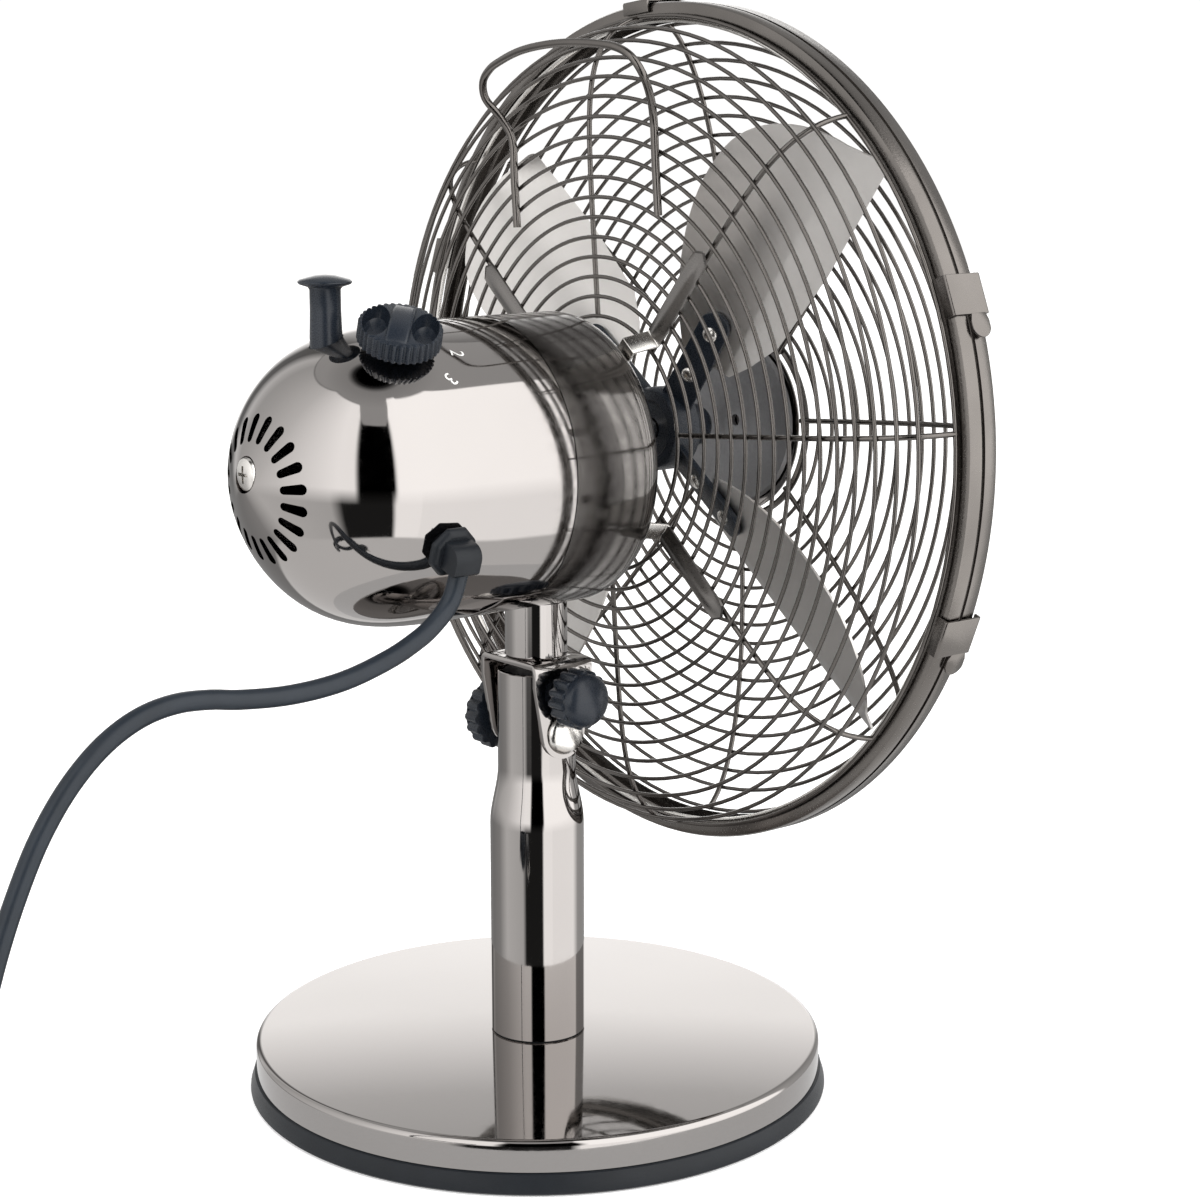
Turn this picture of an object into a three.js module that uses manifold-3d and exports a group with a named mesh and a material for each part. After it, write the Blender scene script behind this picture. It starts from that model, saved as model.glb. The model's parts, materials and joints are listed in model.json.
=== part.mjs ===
// Oscillating desk fan, 12 inch class. Millimetres, +Z up, the air is blown towards -Y.
// The object stands on Z = 0 with the column axis on X = Y = 0.
import * as THREE from 'three';
import { mergeVertices } from 'three/addons/utils/BufferGeometryUtils.js';
import Module from 'manifold-3d';

const wasm = await Module();
wasm.setup();

// ---- driving dimensions -------------------------------------------------------------------

const GAP = 0.3;                 // clearance between pieces that touch
const FINEST_DETAIL = 0.04;      // smaller steps on a surface are left out

const FOOT_RADIUS = 117.2;       // flared plastic foot at the table
const FOOT_HEIGHT = 8;
const COVER_RADIUS = 114.6;      // bright base cover
const COVER_TOP = 20.4;
const SHEET = 1.2;               // sheet thickness of the covers

const ROD_RADIUS = 4;            // threaded rod that ties the column to the base
const COLUMN_RADIUS = 18.9;
const COLUMN_NECKED_RADIUS = 15.6;
const COLUMN_TOP = 171.2;
const COLUMN_WALL = 1.5;

const PIVOT_Z = 147.8;           // tilt axis
const CLAMP_RISE = 15.8;         // clamp bolt above the tilt axis
const CLAMP_BOLT_RADIUS = 2.5;
const TILT_LIMIT = 15 * Math.PI / 180;
const EAR_INSIDE = COLUMN_NECKED_RADIUS + GAP;
const EAR_SHEET = 2;
const EAR_OUTSIDE = EAR_INSIDE + EAR_SHEET;
const YOKE_TOP = 176.8;
const YOKE_HALF_DEPTH = 14;

const NECK_RADIUS = 12.4;
const HOUSING_RADIUS = 57;
const HOUSING_Z = 255;           // centre of the motor housing
const HOUSING_FRONT = -20;
const HOUSING_SEAM = 24;
const DOME_START = 48.3;
const DOME_LENGTH = 84.1;
const DOME_RISE = 1.7;           // the dome's tip sits a little above the housing's centre

const SHAFT_Z = 262;             // centre of blades and cage
const SHAFT_RADIUS = 4;
const CAGE_TURN = -5 * Math.PI / 180;   // the cage sits turned a little on the motor
const CAGE_RADIUS = 163.5;
const RIM_RADIUS = 168.8;
const REAR_RIM_Y = -65;
const FRONT_RIM_Y = -79.5;
const REAR_BOWL_Y = -67;
const REAR_BOWL_DEPTH = 34;
const REAR_BOWL_POWER = 10;      // flat in the middle, curling to the rim
const FRONT_BOWL_Y = -74;
const FRONT_BOWL_DEPTH = 34;
const FRONT_BOWL_POWER = 3;
const WIRE = 1;                  // radius of the ring wires
const RIB = 1.2;                 // radius of the radial wires
const BADGE_RADIUS = 38;

const BLADE_Y = -66;
const BLADE_PITCH = 24 * Math.PI / 180;
const BLADE_COUNT = 4;
const BLADE_TURN = 36.5 * Math.PI / 180;

const DIAL_LEAN = 26 * Math.PI / 180;
const DIAL_SLOPE = 8.3 * Math.PI / 180;  // the dial stands square on the sloping dome
const DIAL_REST = -39.5 * Math.PI / 180; // way the dial's grip points when it is off
const DIAL_Y = 80.6;
const PULL_Y = 95.3;
const GLAND_Y = 79.5;
const GLAND_ANGLE = 200 * Math.PI / 180;

const CORD_RADIUS = 3.5;
const CORD_LIFT = 8.8;            // cord's centre above the housing's skin, inside the gland

// ---- finishes -----------------------------------------------------------------------------

function finish(color, roughness, metalness) {
  return new THREE.MeshStandardMaterial({ color, roughness, metalness });
}
const smokedChrome = () => finish(0x6e6964, 0.12, 1.0);
const brightSteel = () => finish(0xcfccc8, 0.25, 1.0);
const brushedBlade = () => finish(0x9a9590, 0.32, 1.0);
const darkWire = () => finish(0x5d5955, 0.25, 1.0);
const bluePlastic = () => finish(0x2e3640, 0.45, 0.0);
const blackPlastic = () => finish(0x16181b, 0.55, 0.0);
const cordRubber = () => finish(0x30363d, 0.5, 0.0);
const castMetal = () => finish(0x8c8e90, 0.55, 0.9);
const ironWeight = () => finish(0x3a3a3a, 0.8, 0.4);
const copper = () => finish(0xa8602f, 0.45, 0.9);
const bronze = () => finish(0x9c7a3c, 0.4, 0.9);

// ---- helpers ------------------------------------------------------------------------------

function signedVolume(position, index) {
  const a = new THREE.Vector3();
  const b = new THREE.Vector3();
  const c = new THREE.Vector3();
  let sum = 0;
  for (let i = 0; i < index.length; i += 3) {
    a.fromBufferAttribute(position, index[i]);
    b.fromBufferAttribute(position, index[i + 1]);
    c.fromBufferAttribute(position, index[i + 2]);
    sum += a.dot(b.cross(c));
  }
  return sum / 6;
}

// A closed three.js geometry as a solid for joining and cutting.
function solid(geometry) {
  const plain = geometry.clone();
  plain.deleteAttribute('normal');
  plain.deleteAttribute('uv');
  const merged = mergeVertices(plain, 1e-4);
  const source = merged.index.array;
  const index = [];
  for (let i = 0; i < source.length; i += 3) {
    const [a, b, c] = [source[i], source[i + 1], source[i + 2]];
    if (a !== b && b !== c && c !== a) index.push(a, b, c);
  }
  if (signedVolume(merged.attributes.position, index) < 0) index.reverse();
  return new wasm.Manifold(new wasm.Mesh({
    numProp: 3,
    vertProperties: new Float32Array(merged.attributes.position.array),
    triVerts: new Uint32Array(index),
  }));
}

function geometryOf(body) {
  const mesh = body.simplify(FINEST_DETAIL).getMesh();
  const geometry = new THREE.BufferGeometry();
  geometry.setAttribute('position', new THREE.BufferAttribute(new Float32Array(mesh.vertProperties), 3));
  geometry.setIndex(new THREE.BufferAttribute(new Uint32Array(mesh.triVerts), 1));
  return geometry;
}

function join(bodies) {
  return bodies.reduce((sum, body) => sum.add(body));
}

// Turned about the Y axis. A profile lists [radius, y] and is closed on itself or on the axis.
function turned(profile, segments = 32) {
  const points = profile.map(([radius, height]) => new THREE.Vector2(radius, height));
  if (profile[0][0] > 0) points.push(points[0].clone());
  return new THREE.LatheGeometry(points, segments);
}

// Turned about the Z axis. A profile lists [radius, z].
function turnedUp(profile, segments = 24) {
  return turned(profile, segments).rotateX(Math.PI / 2);
}

// Turned about the X axis. A profile lists [radius, x].
function turnedAcross(profile, segments = 24) {
  return turned(profile, segments).rotateZ(-Math.PI / 2);
}

function disc(radius, from, to) {
  return [[0, from], [radius, from], [radius, to], [0, to]];
}

function ring(outer, inner, from, to) {
  return [[inner, from], [outer, from], [outer, to], [inner, to]];
}

function box(width, depth, height, x, y, z) {
  return new THREE.BoxGeometry(width, depth, height).translate(x, y, z);
}

function outline(points) {
  return new THREE.Shape(points.map(([u, v]) => new THREE.Vector2(u, v)));
}

function slab(shape, thickness, curveSegments = 8) {
  return new THREE.ExtrudeGeometry(shape, { depth: thickness, bevelEnabled: false, curveSegments });
}

function circleShape(radius, sides) {
  const shape = new THREE.Shape();
  for (let i = 0; i < sides; i += 1) {
    const angle = 2 * Math.PI * i / sides;
    if (i === 0) shape.moveTo(radius, 0);
    else shape.lineTo(radius * Math.cos(angle), radius * Math.sin(angle));
  }
  shape.closePath();
  return shape;
}

// Round bar along a smooth curve through the points.
function bar(points, radius, sides, steps) {
  const stops = points.map(([x, y, z]) => new THREE.Vector3(x, y, z));
  const extrudePath = new THREE.CatmullRomCurve3(stops, false, 'centripetal');
  return new THREE.ExtrudeGeometry(circleShape(radius, sides), { steps, bevelEnabled: false, extrudePath });
}

// A toothed grip: a disc whose edge is cut by evenly spaced flutes, along Z.
function gripShape(radius, depth, teeth) {
  const shape = new THREE.Shape();
  const steps = teeth * 4;
  for (let i = 0; i < steps; i += 1) {
    const angle = 2 * Math.PI * i / steps;
    const r = i % 4 < 2 ? radius : radius - depth;
    if (i === 0) shape.moveTo(r, 0);
    else shape.lineTo(r * Math.cos(angle), r * Math.sin(angle));
  }
  shape.closePath();
  return shape;
}

const fan = new THREE.Group();

function add(name, shape, material, group = fan) {
  const geometry = shape.isBufferGeometry ? geometryOf(solid(shape)) : geometryOf(shape);
  geometry.computeVertexNormals();
  const mesh = new THREE.Mesh(geometry, material);
  mesh.name = name;
  group.add(mesh);
  return mesh;
}

// ---- base ---------------------------------------------------------------------------------

function buildBase() {
  const recess = 100;
  add('base_mat', turnedUp(disc(recess - GAP, 0, 2), 36), blackPlastic());
  add('base_foot', turnedUp([
    [recess, 0], [FOOT_RADIUS, 0], [FOOT_RADIUS - 0.3, 2], [COVER_RADIUS + 0.6, FOOT_HEIGHT],
    [COVER_RADIUS - 4, FOOT_HEIGHT], [COVER_RADIUS - 4, 4.6], [14, 4.6], [14, 2.3], [recess, 2.3],
  ], 40), blackPlastic());
  const inside = COVER_RADIUS - SHEET;
  const bend = 2.4;
  add('base_cover', turnedUp([
    [5, COVER_TOP - SHEET], [inside - bend, COVER_TOP - SHEET], [inside - 0.4, COVER_TOP - SHEET - bend],
    [inside, FOOT_HEIGHT + GAP], [COVER_RADIUS, FOOT_HEIGHT + GAP], [COVER_RADIUS, COVER_TOP - bend],
    [COVER_RADIUS - 0.7, COVER_TOP - 0.7], [COVER_RADIUS - bend, COVER_TOP], [5, COVER_TOP],
  ], 40), smokedChrome());
  // The weight is bored wider below, where the nut that holds the column sits.
  const weight = [[15, 4.9], [104, 4.9], [104, 17], [7, 17], [7, 11.4], [15, 11.4]];
  add('base_weight', turnedUp(weight, 36), ironWeight());
  add('base_washer', turnedUp(ring(11, ROD_RADIUS + GAP, 17.3, 18.9), 20), brightSteel());
  const nut = solid(slab(circleShape(9, 6), 5.6).translate(0, 0, 5.5));
  const thread = solid(turnedUp(disc(ROD_RADIUS + GAP, 4, 12), 16));
  add('base_nut', nut.subtract(thread), brightSteel());
}

function buildColumn() {
  const foot = COVER_TOP + GAP;
  const outer = [
    [COLUMN_RADIUS, foot], [COLUMN_RADIUS, 109], [COLUMN_RADIUS - 0.35, 112.5], [COLUMN_NECKED_RADIUS + 0.35, 127.5],
    [COLUMN_NECKED_RADIUS, 131.5], [COLUMN_NECKED_RADIUS, COLUMN_TOP],
  ];
  const inner = outer.map(([radius, z]) => [radius - COLUMN_WALL, z]).reverse();
  const tube = solid(turnedUp([...outer, ...inner], 24));
  const pivotHole = solid(turnedAcross(disc(3.3, -30, 30), 16).translate(0, 0, PIVOT_Z));
  // Arc slots that let the clamp bolt swing with the yoke.
  const half = CLAMP_BOLT_RADIUS + 0.4;
  const swing = TILT_LIMIT + Math.asin(half / CLAMP_RISE);
  const slot = new THREE.Shape();
  slot.absarc(0, 0, CLAMP_RISE + half, Math.PI / 2 - swing, Math.PI / 2 + swing, false);
  slot.absarc(0, 0, CLAMP_RISE - half, Math.PI / 2 + swing, Math.PI / 2 - swing, true);
  slot.closePath();
  const slots = solid(slab(slot, 60, 4).rotateX(Math.PI / 2).rotateZ(Math.PI / 2).translate(-30, 0, PIVOT_Z));
  add('column', tube.subtract(pivotHole).subtract(slots), smokedChrome());
  const bore = COLUMN_RADIUS - COLUMN_WALL - GAP;
  add('column_anchor', turnedUp(ring(bore, ROD_RADIUS + GAP, foot + 0.1, 54), 24), castMetal());
  add('column_rod', turnedUp([[0, 5.3], [ROD_RADIUS, 5.3], [ROD_RADIUS, 54.3], [7.5, 54.3], [7.5, 60], [0, 60]], 16),
    brightSteel());
  const capRadius = COLUMN_NECKED_RADIUS - COLUMN_WALL - GAP;
  add('column_cap', turnedUp(disc(capRadius, COLUMN_TOP - 3.2, COLUMN_TOP - GAP)), blackPlastic());
}

// ---- tilt yoke ----------------------------------------------------------------------------

function buildYoke() {
  const bend = 3;
  const profile = new THREE.Shape();
  profile.moveTo(-EAR_OUTSIDE, PIVOT_Z - 12);
  profile.lineTo(-EAR_OUTSIDE, YOKE_TOP - bend);
  profile.absarc(-EAR_OUTSIDE + bend, YOKE_TOP - bend, bend, Math.PI, Math.PI / 2, true);
  profile.lineTo(EAR_OUTSIDE - bend, YOKE_TOP);
  profile.absarc(EAR_OUTSIDE - bend, YOKE_TOP - bend, bend, Math.PI / 2, 0, true);
  profile.lineTo(EAR_OUTSIDE, PIVOT_Z - 12);
  profile.lineTo(EAR_INSIDE, PIVOT_Z - 12);
  profile.lineTo(EAR_INSIDE, YOKE_TOP - bend);
  profile.absarc(EAR_OUTSIDE - bend, YOKE_TOP - bend, bend - EAR_SHEET, 0, Math.PI / 2, false);
  profile.lineTo(-EAR_OUTSIDE + bend, YOKE_TOP - EAR_SHEET);
  profile.absarc(-EAR_OUTSIDE + bend, YOKE_TOP - bend, bend - EAR_SHEET, Math.PI / 2, Math.PI, false);
  profile.lineTo(-EAR_INSIDE, PIVOT_Z - 12);
  profile.closePath();
  const strip = solid(slab(profile, 2 * YOKE_HALF_DEPTH, 3).rotateX(Math.PI / 2).translate(0, YOKE_HALF_DEPTH, 0));

  // Side outline of the ears: straight at the plate, tapering to a round end about the tilt axis.
  const end = 10.2;
  const side = new THREE.Shape();
  side.moveTo(-YOKE_HALF_DEPTH, YOKE_TOP + 1);
  side.lineTo(-YOKE_HALF_DEPTH, YOKE_TOP - 8);
  side.absarc(0, PIVOT_Z, end, Math.PI * 1.06, Math.PI * 1.94, false);
  side.lineTo(YOKE_HALF_DEPTH, YOKE_TOP - 8);
  side.lineTo(YOKE_HALF_DEPTH, YOKE_TOP + 1);
  side.closePath();
  const ears = solid(slab(side, 80, 8).rotateX(Math.PI / 2).rotateZ(Math.PI / 2).translate(-40, 0, 0));
  const holes = join([
    solid(turnedAcross(disc(3.3, -30, 30), 16).translate(0, 0, PIVOT_Z)),
    solid(turnedAcross(disc(2.8, -30, 30), 16).translate(0, 0, PIVOT_Z + CLAMP_RISE)),
    solid(turnedUp(disc(5.3, YOKE_TOP - 4, YOKE_TOP + 1), 20)),
  ]);
  add('tilt_yoke', strip.intersect(ears).subtract(holes), smokedChrome());

  // Domed carriage bolt through both ears and the column.
  add('pivot_bolt', turnedAcross([
    [0, -EAR_OUTSIDE - 4.2], [4.4, -EAR_OUTSIDE - 3.5], [7.2, -EAR_OUTSIDE - 1.9], [8.2, -EAR_OUTSIDE - GAP],
    [3, -EAR_OUTSIDE - GAP], [3, EAR_OUTSIDE + 8], [0, EAR_OUTSIDE + 8],
  ], 20).translate(0, 0, PIVOT_Z), brightSteel());
  add('clamp_bolt', turnedAcross([
    [0, -EAR_OUTSIDE - 8], [CLAMP_BOLT_RADIUS, -EAR_OUTSIDE - 8], [CLAMP_BOLT_RADIUS, EAR_OUTSIDE + GAP],
    [4.6, EAR_OUTSIDE + GAP], [4.2, EAR_OUTSIDE + 2.2], [0, EAR_OUTSIDE + 2.6],
  ], 16).translate(0, 0, PIVOT_Z + CLAMP_RISE), brightSteel());
  add('neck_post', turnedUp([
    [0, YOKE_TOP - 3.2], [5, YOKE_TOP - 3.2], [5, YOKE_TOP + GAP], [NECK_RADIUS, YOKE_TOP + GAP],
    [NECK_RADIUS, 199], [9.8, 199], [9.8, 216], [0, 216],
  ], 22), smokedChrome());
}

// Clamp knob: a boss, a fluted skirt and a domed crown, with a blind bore for its bolt.
const KNOB_BOSS = 4;

function knob(radius, length, crown, bore) {
  const boss = solid(turnedUp(disc(7, 0, KNOB_BOSS + 0.5), 14));
  const skirt = solid(slab(gripShape(radius, 1.1, 12), length - KNOB_BOSS, 1).translate(0, 0, KNOB_BOSS));
  const profile = [[0, length - 0.5], [radius - 1.2, length - 0.5]];
  for (const rise of [0.1, 0.5, 0.8, 0.95]) {
    profile.push([(radius - 1.2) * Math.sqrt(1 - rise * rise), length + crown * rise]);
  }
  profile.push([0, length + crown]);
  const hole = solid(turnedUp(disc(bore, -1, length - 3), 10));
  return join([boss, skirt, solid(turnedUp(profile, 16))]).subtract(hole);
}

function buildKnobs() {
  const start = EAR_OUTSIDE + GAP;
  const near = geometryOf(knob(11.8, 13, 6, CLAMP_BOLT_RADIUS + GAP)).rotateY(-Math.PI / 2);
  add('clamp_knob', near.translate(-start, 0, PIVOT_Z + CLAMP_RISE), bluePlastic());
  const far = geometryOf(knob(14.3, 11.5, 2.5, 3.3)).rotateY(Math.PI / 2);
  add('pivot_knob', far.translate(start, 0, PIVOT_Z), bluePlastic());
}

// ---- motor housing ------------------------------------------------------------------------

function domeRadius(y) {
  const along = Math.min(1, Math.max(0, (y - DOME_START) / DOME_LENGTH));
  return HOUSING_RADIUS * (1 - along ** 3.7) ** (1 / 1.3);
}

// Sections near the tip rise a little, so that the screw sits close to the tip's middle.
function riseTip(geometry, radius) {
  const position = geometry.attributes.position;
  for (let i = 0; i < position.count; i += 1) {
    const out = Math.hypot(position.getX(i), position.getZ(i)) / radius;
    position.setZ(i, position.getZ(i) + DOME_RISE * Math.max(0, 1 - out * out) + HOUSING_Z);
  }
  return geometry;
}

function domeBody(inset, segments) {
  const radius = HOUSING_RADIUS - inset;
  const tip = DOME_START + DOME_LENGTH - inset;
  const stations = [0, 0.36, 0.58, 0.73, 0.85, 0.94];
  const scale = (tip - DOME_START) / DOME_LENGTH;
  const profile = [[0, HOUSING_SEAM], [radius, HOUSING_SEAM]];
  for (const s of stations) {
    const y = DOME_START + s * DOME_LENGTH;
    profile.push([domeRadius(y) * radius / HOUSING_RADIUS, DOME_START + s * DOME_LENGTH * scale]);
  }
  profile.push([0, tip]);
  return solid(riseTip(turned(profile, segments), radius));
}

const DIAL_OUT = new THREE.Vector3(-Math.sin(DIAL_LEAN), 0, Math.cos(DIAL_LEAN));
const DIAL_FOOT = new THREE.Vector3(0, DIAL_Y, HOUSING_Z).addScaledVector(DIAL_OUT, domeRadius(DIAL_Y));

// Turns a shape built along +Z so that it stands on the dial's axis.
function onDial(geometry) {
  return geometry.rotateX(-DIAL_SLOPE).rotateY(-DIAL_LEAN).translate(DIAL_FOOT.x, DIAL_FOOT.y, DIAL_FOOT.z);
}

const GLAND_OUT = new THREE.Vector3(Math.cos(GLAND_ANGLE), 0, Math.sin(GLAND_ANGLE));
const GLAND_FOOT = new THREE.Vector3(0, GLAND_Y, HOUSING_Z).addScaledVector(GLAND_OUT, domeRadius(GLAND_Y));

// Turns a shape built along +Z so that it points out of the housing at the cord gland.
function onGland(geometry) {
  return geometry.rotateY(GLAND_ANGLE * -1 + Math.PI / 2).translate(GLAND_FOOT.x, GLAND_FOOT.y, GLAND_FOOT.z);
}

const VENT_COUNT = 20;
const VENT_TURN = 11.6 * Math.PI / 180;
const SCREW_Z = 261;             // rear screw, near the shaft's axis
const SCREW_SEAT = DOME_START + DOME_LENGTH - 4.4;

function ventSlots() {
  const slots = [];
  for (let i = 0; i < VENT_COUNT; i += 1) {
    const shape = outline([[17.4, -1.4], [27.2, -2], [27.2, 2], [17.4, 1.4]]);
    const slot = slab(shape, 50).rotateZ(VENT_TURN + i * 2 * Math.PI / VENT_COUNT);
    slots.push(solid(slot.rotateX(Math.PI / 2).translate(0, 155, HOUSING_Z)));
  }
  return join(slots);
}

function buildHousing() {
  const boss = solid(turned(disc(8, SCREW_SEAT - 4, SCREW_SEAT), 16).translate(0, 0, SCREW_Z));
  const shell = domeBody(0, 32).subtract(domeBody(SHEET, 20).translate([0, -0.01, 0])).add(boss);
  const cuts = join([
    ventSlots(),
    solid(turned(disc(2.3, 115, 150), 10).translate(0, 0, SCREW_Z)),
    solid(turned(disc(6.7, SCREW_SEAT - 0.2, 150), 16).translate(0, 0, SCREW_Z)),
    solid(turnedUp(disc(6.3, 290, 330), 14).translate(0, PULL_Y, 0)),
    solid(onDial(turnedUp(disc(3.7, -12, 12), 10))),
    solid(onGland(turnedUp(disc(6.6, -10, 12), 8))),
  ]);
  add('rear_housing', shell.subtract(cuts), smokedChrome());

  const outer = [[0, HOUSING_FRONT], [48, HOUSING_FRONT], [53.5, HOUSING_FRONT + 1.8], [56.2, HOUSING_FRONT + 6],
    [HOUSING_RADIUS, HOUSING_FRONT + 11], [HOUSING_RADIUS, HOUSING_SEAM - GAP], [0, HOUSING_SEAM - GAP]];
  const inner = [[0, HOUSING_FRONT + SHEET], [47.5, HOUSING_FRONT + SHEET], [52.4, HOUSING_FRONT + 2.8],
    [55, HOUSING_FRONT + 7], [HOUSING_RADIUS - SHEET, HOUSING_FRONT + 11.5],
    [HOUSING_RADIUS - SHEET, HOUSING_SEAM + 1], [0, HOUSING_SEAM + 1]];
  const front = solid(turned(outer, 32).translate(0, 0, HOUSING_Z))
    .subtract(solid(turned(inner, 20).translate(0, 0, HOUSING_Z)))
    .subtract(solid(turned(disc(12.5, -25, -10), 24).translate(0, 0, SHAFT_Z)))
    .subtract(solid(turnedUp(disc(NECK_RADIUS + 0.5, 190, 215), 24)));
  add('front_housing', front, smokedChrome());

  add('rear_screw', turned([
    [0, 77], [1.9, 77], [1.9, SCREW_SEAT + 0.1], [6.2, SCREW_SEAT + 0.1], [6, SCREW_SEAT + 2.8],
    [4, SCREW_SEAT + 3.7], [0, SCREW_SEAT + 3.8],
  ], 16).translate(0, 0, SCREW_Z), brightSteel());
}

function buildGland() {
  // Snap-in body with a hood; the cord leaves downwards, out of the mouth under the hood.
  const body = solid(turnedUp([[0, -7], [6.2, -7], [6.2, 1.6], [10, 1.6], [9.7, 3.6], [8.4, 5], [0, 5]], 8));
  const hood = solid(box(10, 11, 9, 1.6, 0, 8.9));
  const mouth = solid(box(12, 2 * CORD_RADIUS + 0.8, 2 * CORD_RADIUS + 0.8, -4.4, 0, CORD_LIFT));
  add('cord_gland', onGland(geometryOf(body.add(hood).subtract(mouth))), blackPlastic());
}

// ---- motor --------------------------------------------------------------------------------

function onShaft(profile, segments = 20) {
  return turned(profile, segments).translate(0, 0, SHAFT_Z);
}

function buildMotor() {
  add('front_bracket', onShaft([[8, -18.3], [40, -18.3], [40, -14.2], [14, -14.2], [12, -9], [8, -9]]), castMetal());
  add('front_bearing', onShaft(ring(7.7, SHAFT_RADIUS + 0.25, -17.5, -9.5), 20), bronze());
  add('front_winding', onShaft(ring(37, 24, -13, -5.3), 24), copper());
  add('stator', onShaft(ring(41.5, 22.6, -5, 23)), castMetal());
  add('rear_winding', onShaft(ring(37, 24, 23.3, 31), 24), copper());
  add('rear_bracket', onShaft([[8, 41], [12, 41], [14, 36.2], [43, 36.2], [43, 32], [8, 32]]), castMetal());
  add('rear_bearing', onShaft(ring(7.7, SHAFT_RADIUS + 0.25, 32.5, 40.5), 20), bronze());

  const gearbox = solid(box(34, 32, 42, 0, 59, 262))
    .subtract(solid(box(28, 27, 36, 0, 59.6, 262)))
    .subtract(solid(turned(disc(5, 40, 48), 16).translate(0, 0, SHAFT_Z)));
  const cavityDoor = solid(turnedUp(disc(5, 278, 290), 16).translate(0, 66, 0));
  add('gearbox_case', gearbox.subtract(cavityDoor), castMetal());
  const socket = solid(turnedUp([[10.1, 202.4], [16, 202.4], [16, 219.6], [0, 219.6], [0, 217], [10.1, 217]], 20));
  add('pivot_socket', socket, castMetal());
  const crank = solid(turnedUp(disc(8, 232, 236), 24).translate(0, 60, 0))
    .add(solid(turnedUp(disc(2, 226, 233), 12).translate(5.5, 60, 0)));
  add('oscillation_crank', crank, bronze());
}

function buildRotor() {
  const shaft = onShaft([[0, -86], [2.6, -86], [2.6, -76], [SHAFT_RADIUS, -76], [SHAFT_RADIUS, 50], [0, 50]], 20);
  add('motor_shaft', shaft, brightSteel());
  add('rotor', onShaft(ring(22, SHAFT_RADIUS + GAP, -4, 22)), castMetal());

  const arm = outline([[10, -7], [54, -6.5], [59.5, -4], [61, 0], [59.5, 4], [54, 6.5], [10, 7]]);
  const hub = [solid(onShaft(ring(17, SHAFT_RADIUS + GAP + 0.2, BLADE_Y - 6, BLADE_Y + 8), 20))];
  for (let i = 0; i < BLADE_COUNT; i += 1) {
    hub.push(solid(onBlade(slab(arm, 2.6).translate(0, 0, 1), i)));
  }
  const bore = solid(onShaft(disc(SHAFT_RADIUS + GAP, BLADE_Y - 12, BLADE_Y + 14), 14));
  add('blade_spider', join(hub).subtract(bore), bluePlastic());

  for (let i = 0; i < BLADE_COUNT; i += 1) {
    add(`blade_${i + 1}`, geometryOf(bladeBody()).applyMatrix4(bladeMatrix(i)), brushedBlade());
  }
  const capNut = solid(onShaft([[0, -87.5], [5, -87], [8.6, -84], [9, -76], [2.9, -76], [2.9, -86.3], [0, -86.3]], 24));
  add('hub_nut', capNut, bluePlastic());
}

// A blade's own frame: X outwards, Y along the chord, Z towards the rear of the fan.
function bladeMatrix(i) {
  const matrix = new THREE.Matrix4().makeTranslation(0, BLADE_Y, SHAFT_Z);
  const spin = BLADE_TURN + i * 2 * Math.PI / BLADE_COUNT;
  matrix.multiply(new THREE.Matrix4().makeRotationY(-spin));
  matrix.multiply(new THREE.Matrix4().makeRotationX(-Math.PI / 2));
  matrix.multiply(new THREE.Matrix4().makeRotationX(BLADE_PITCH));
  return matrix;
}

function onBlade(geometry, i) {
  return geometry.applyMatrix4(bladeMatrix(i));
}

// Paddle blade pressed from sheet, with a crease along its length.
function bladeBody() {
  const crease = -12;
  const root = 38;
  const tip = 150;
  const wide = new THREE.Shape();
  wide.moveTo(root, crease);
  wide.lineTo(root, 9);
  wide.bezierCurveTo(58, 24, 92, 37, 122, 29.5);
  wide.bezierCurveTo(138, 25.5, tip - 0.5, 12, tip + 0.3, -3);
  wide.lineTo(tip, crease);
  wide.closePath();
  const narrow = new THREE.Shape();
  narrow.moveTo(root, crease + 0.2);
  narrow.lineTo(tip, crease + 0.2);
  narrow.lineTo(tip + 1.2, -25);
  narrow.lineTo(tip - 2, -28.5);
  narrow.lineTo(98, -28.3);
  narrow.lineTo(60, -25);
  narrow.lineTo(46, -19);
  narrow.lineTo(root, crease - 2);
  narrow.closePath();
  const thickness = 1;
  const bendNarrow = -0.31;
  const shift = (g, angle) => g.translate(0, -crease, 0).rotateX(angle).translate(0, crease, 0);
  const a = solid(slab(wide, thickness, 7).translate(0, 0, -thickness));
  const b = solid(shift(slab(narrow, thickness, 5).translate(0, 0, -thickness), -bendNarrow));
  return a.add(b).translate([0, 0, 0.7]);
}

// ---- cage ---------------------------------------------------------------------------------

function rearBowl(radius) {
  return REAR_BOWL_Y + REAR_BOWL_DEPTH * Math.sqrt(Math.max(0, 1 - (radius / CAGE_RADIUS) ** REAR_BOWL_POWER));
}

function frontBowl(radius) {
  return FRONT_BOWL_Y - FRONT_BOWL_DEPTH * Math.sqrt(Math.max(0, 1 - (radius / CAGE_RADIUS) ** FRONT_BOWL_POWER));
}

function wireRing(radius, y) {
  const segments = radius > 90 ? 24 : 16;
  const hoop = new THREE.TorusGeometry(radius, WIRE, 3, segments).rotateZ(CAGE_TURN).rotateX(Math.PI / 2);
  return solid(hoop.translate(0, y, SHAFT_Z));
}

// Radii at which rings sit when they are spaced evenly along the bowl's curve.
function ringRadii(bowl, from, to, spacing) {
  const radii = [from];
  let walked = 0;
  const step = 0.25;
  for (let r = from; r + step < to; r += step) {
    walked += Math.hypot(step, bowl(r + step) - bowl(r));
    if (walked >= spacing) {
      radii.push(r + step);
      walked = 0;
    }
  }
  return radii;
}

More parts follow.
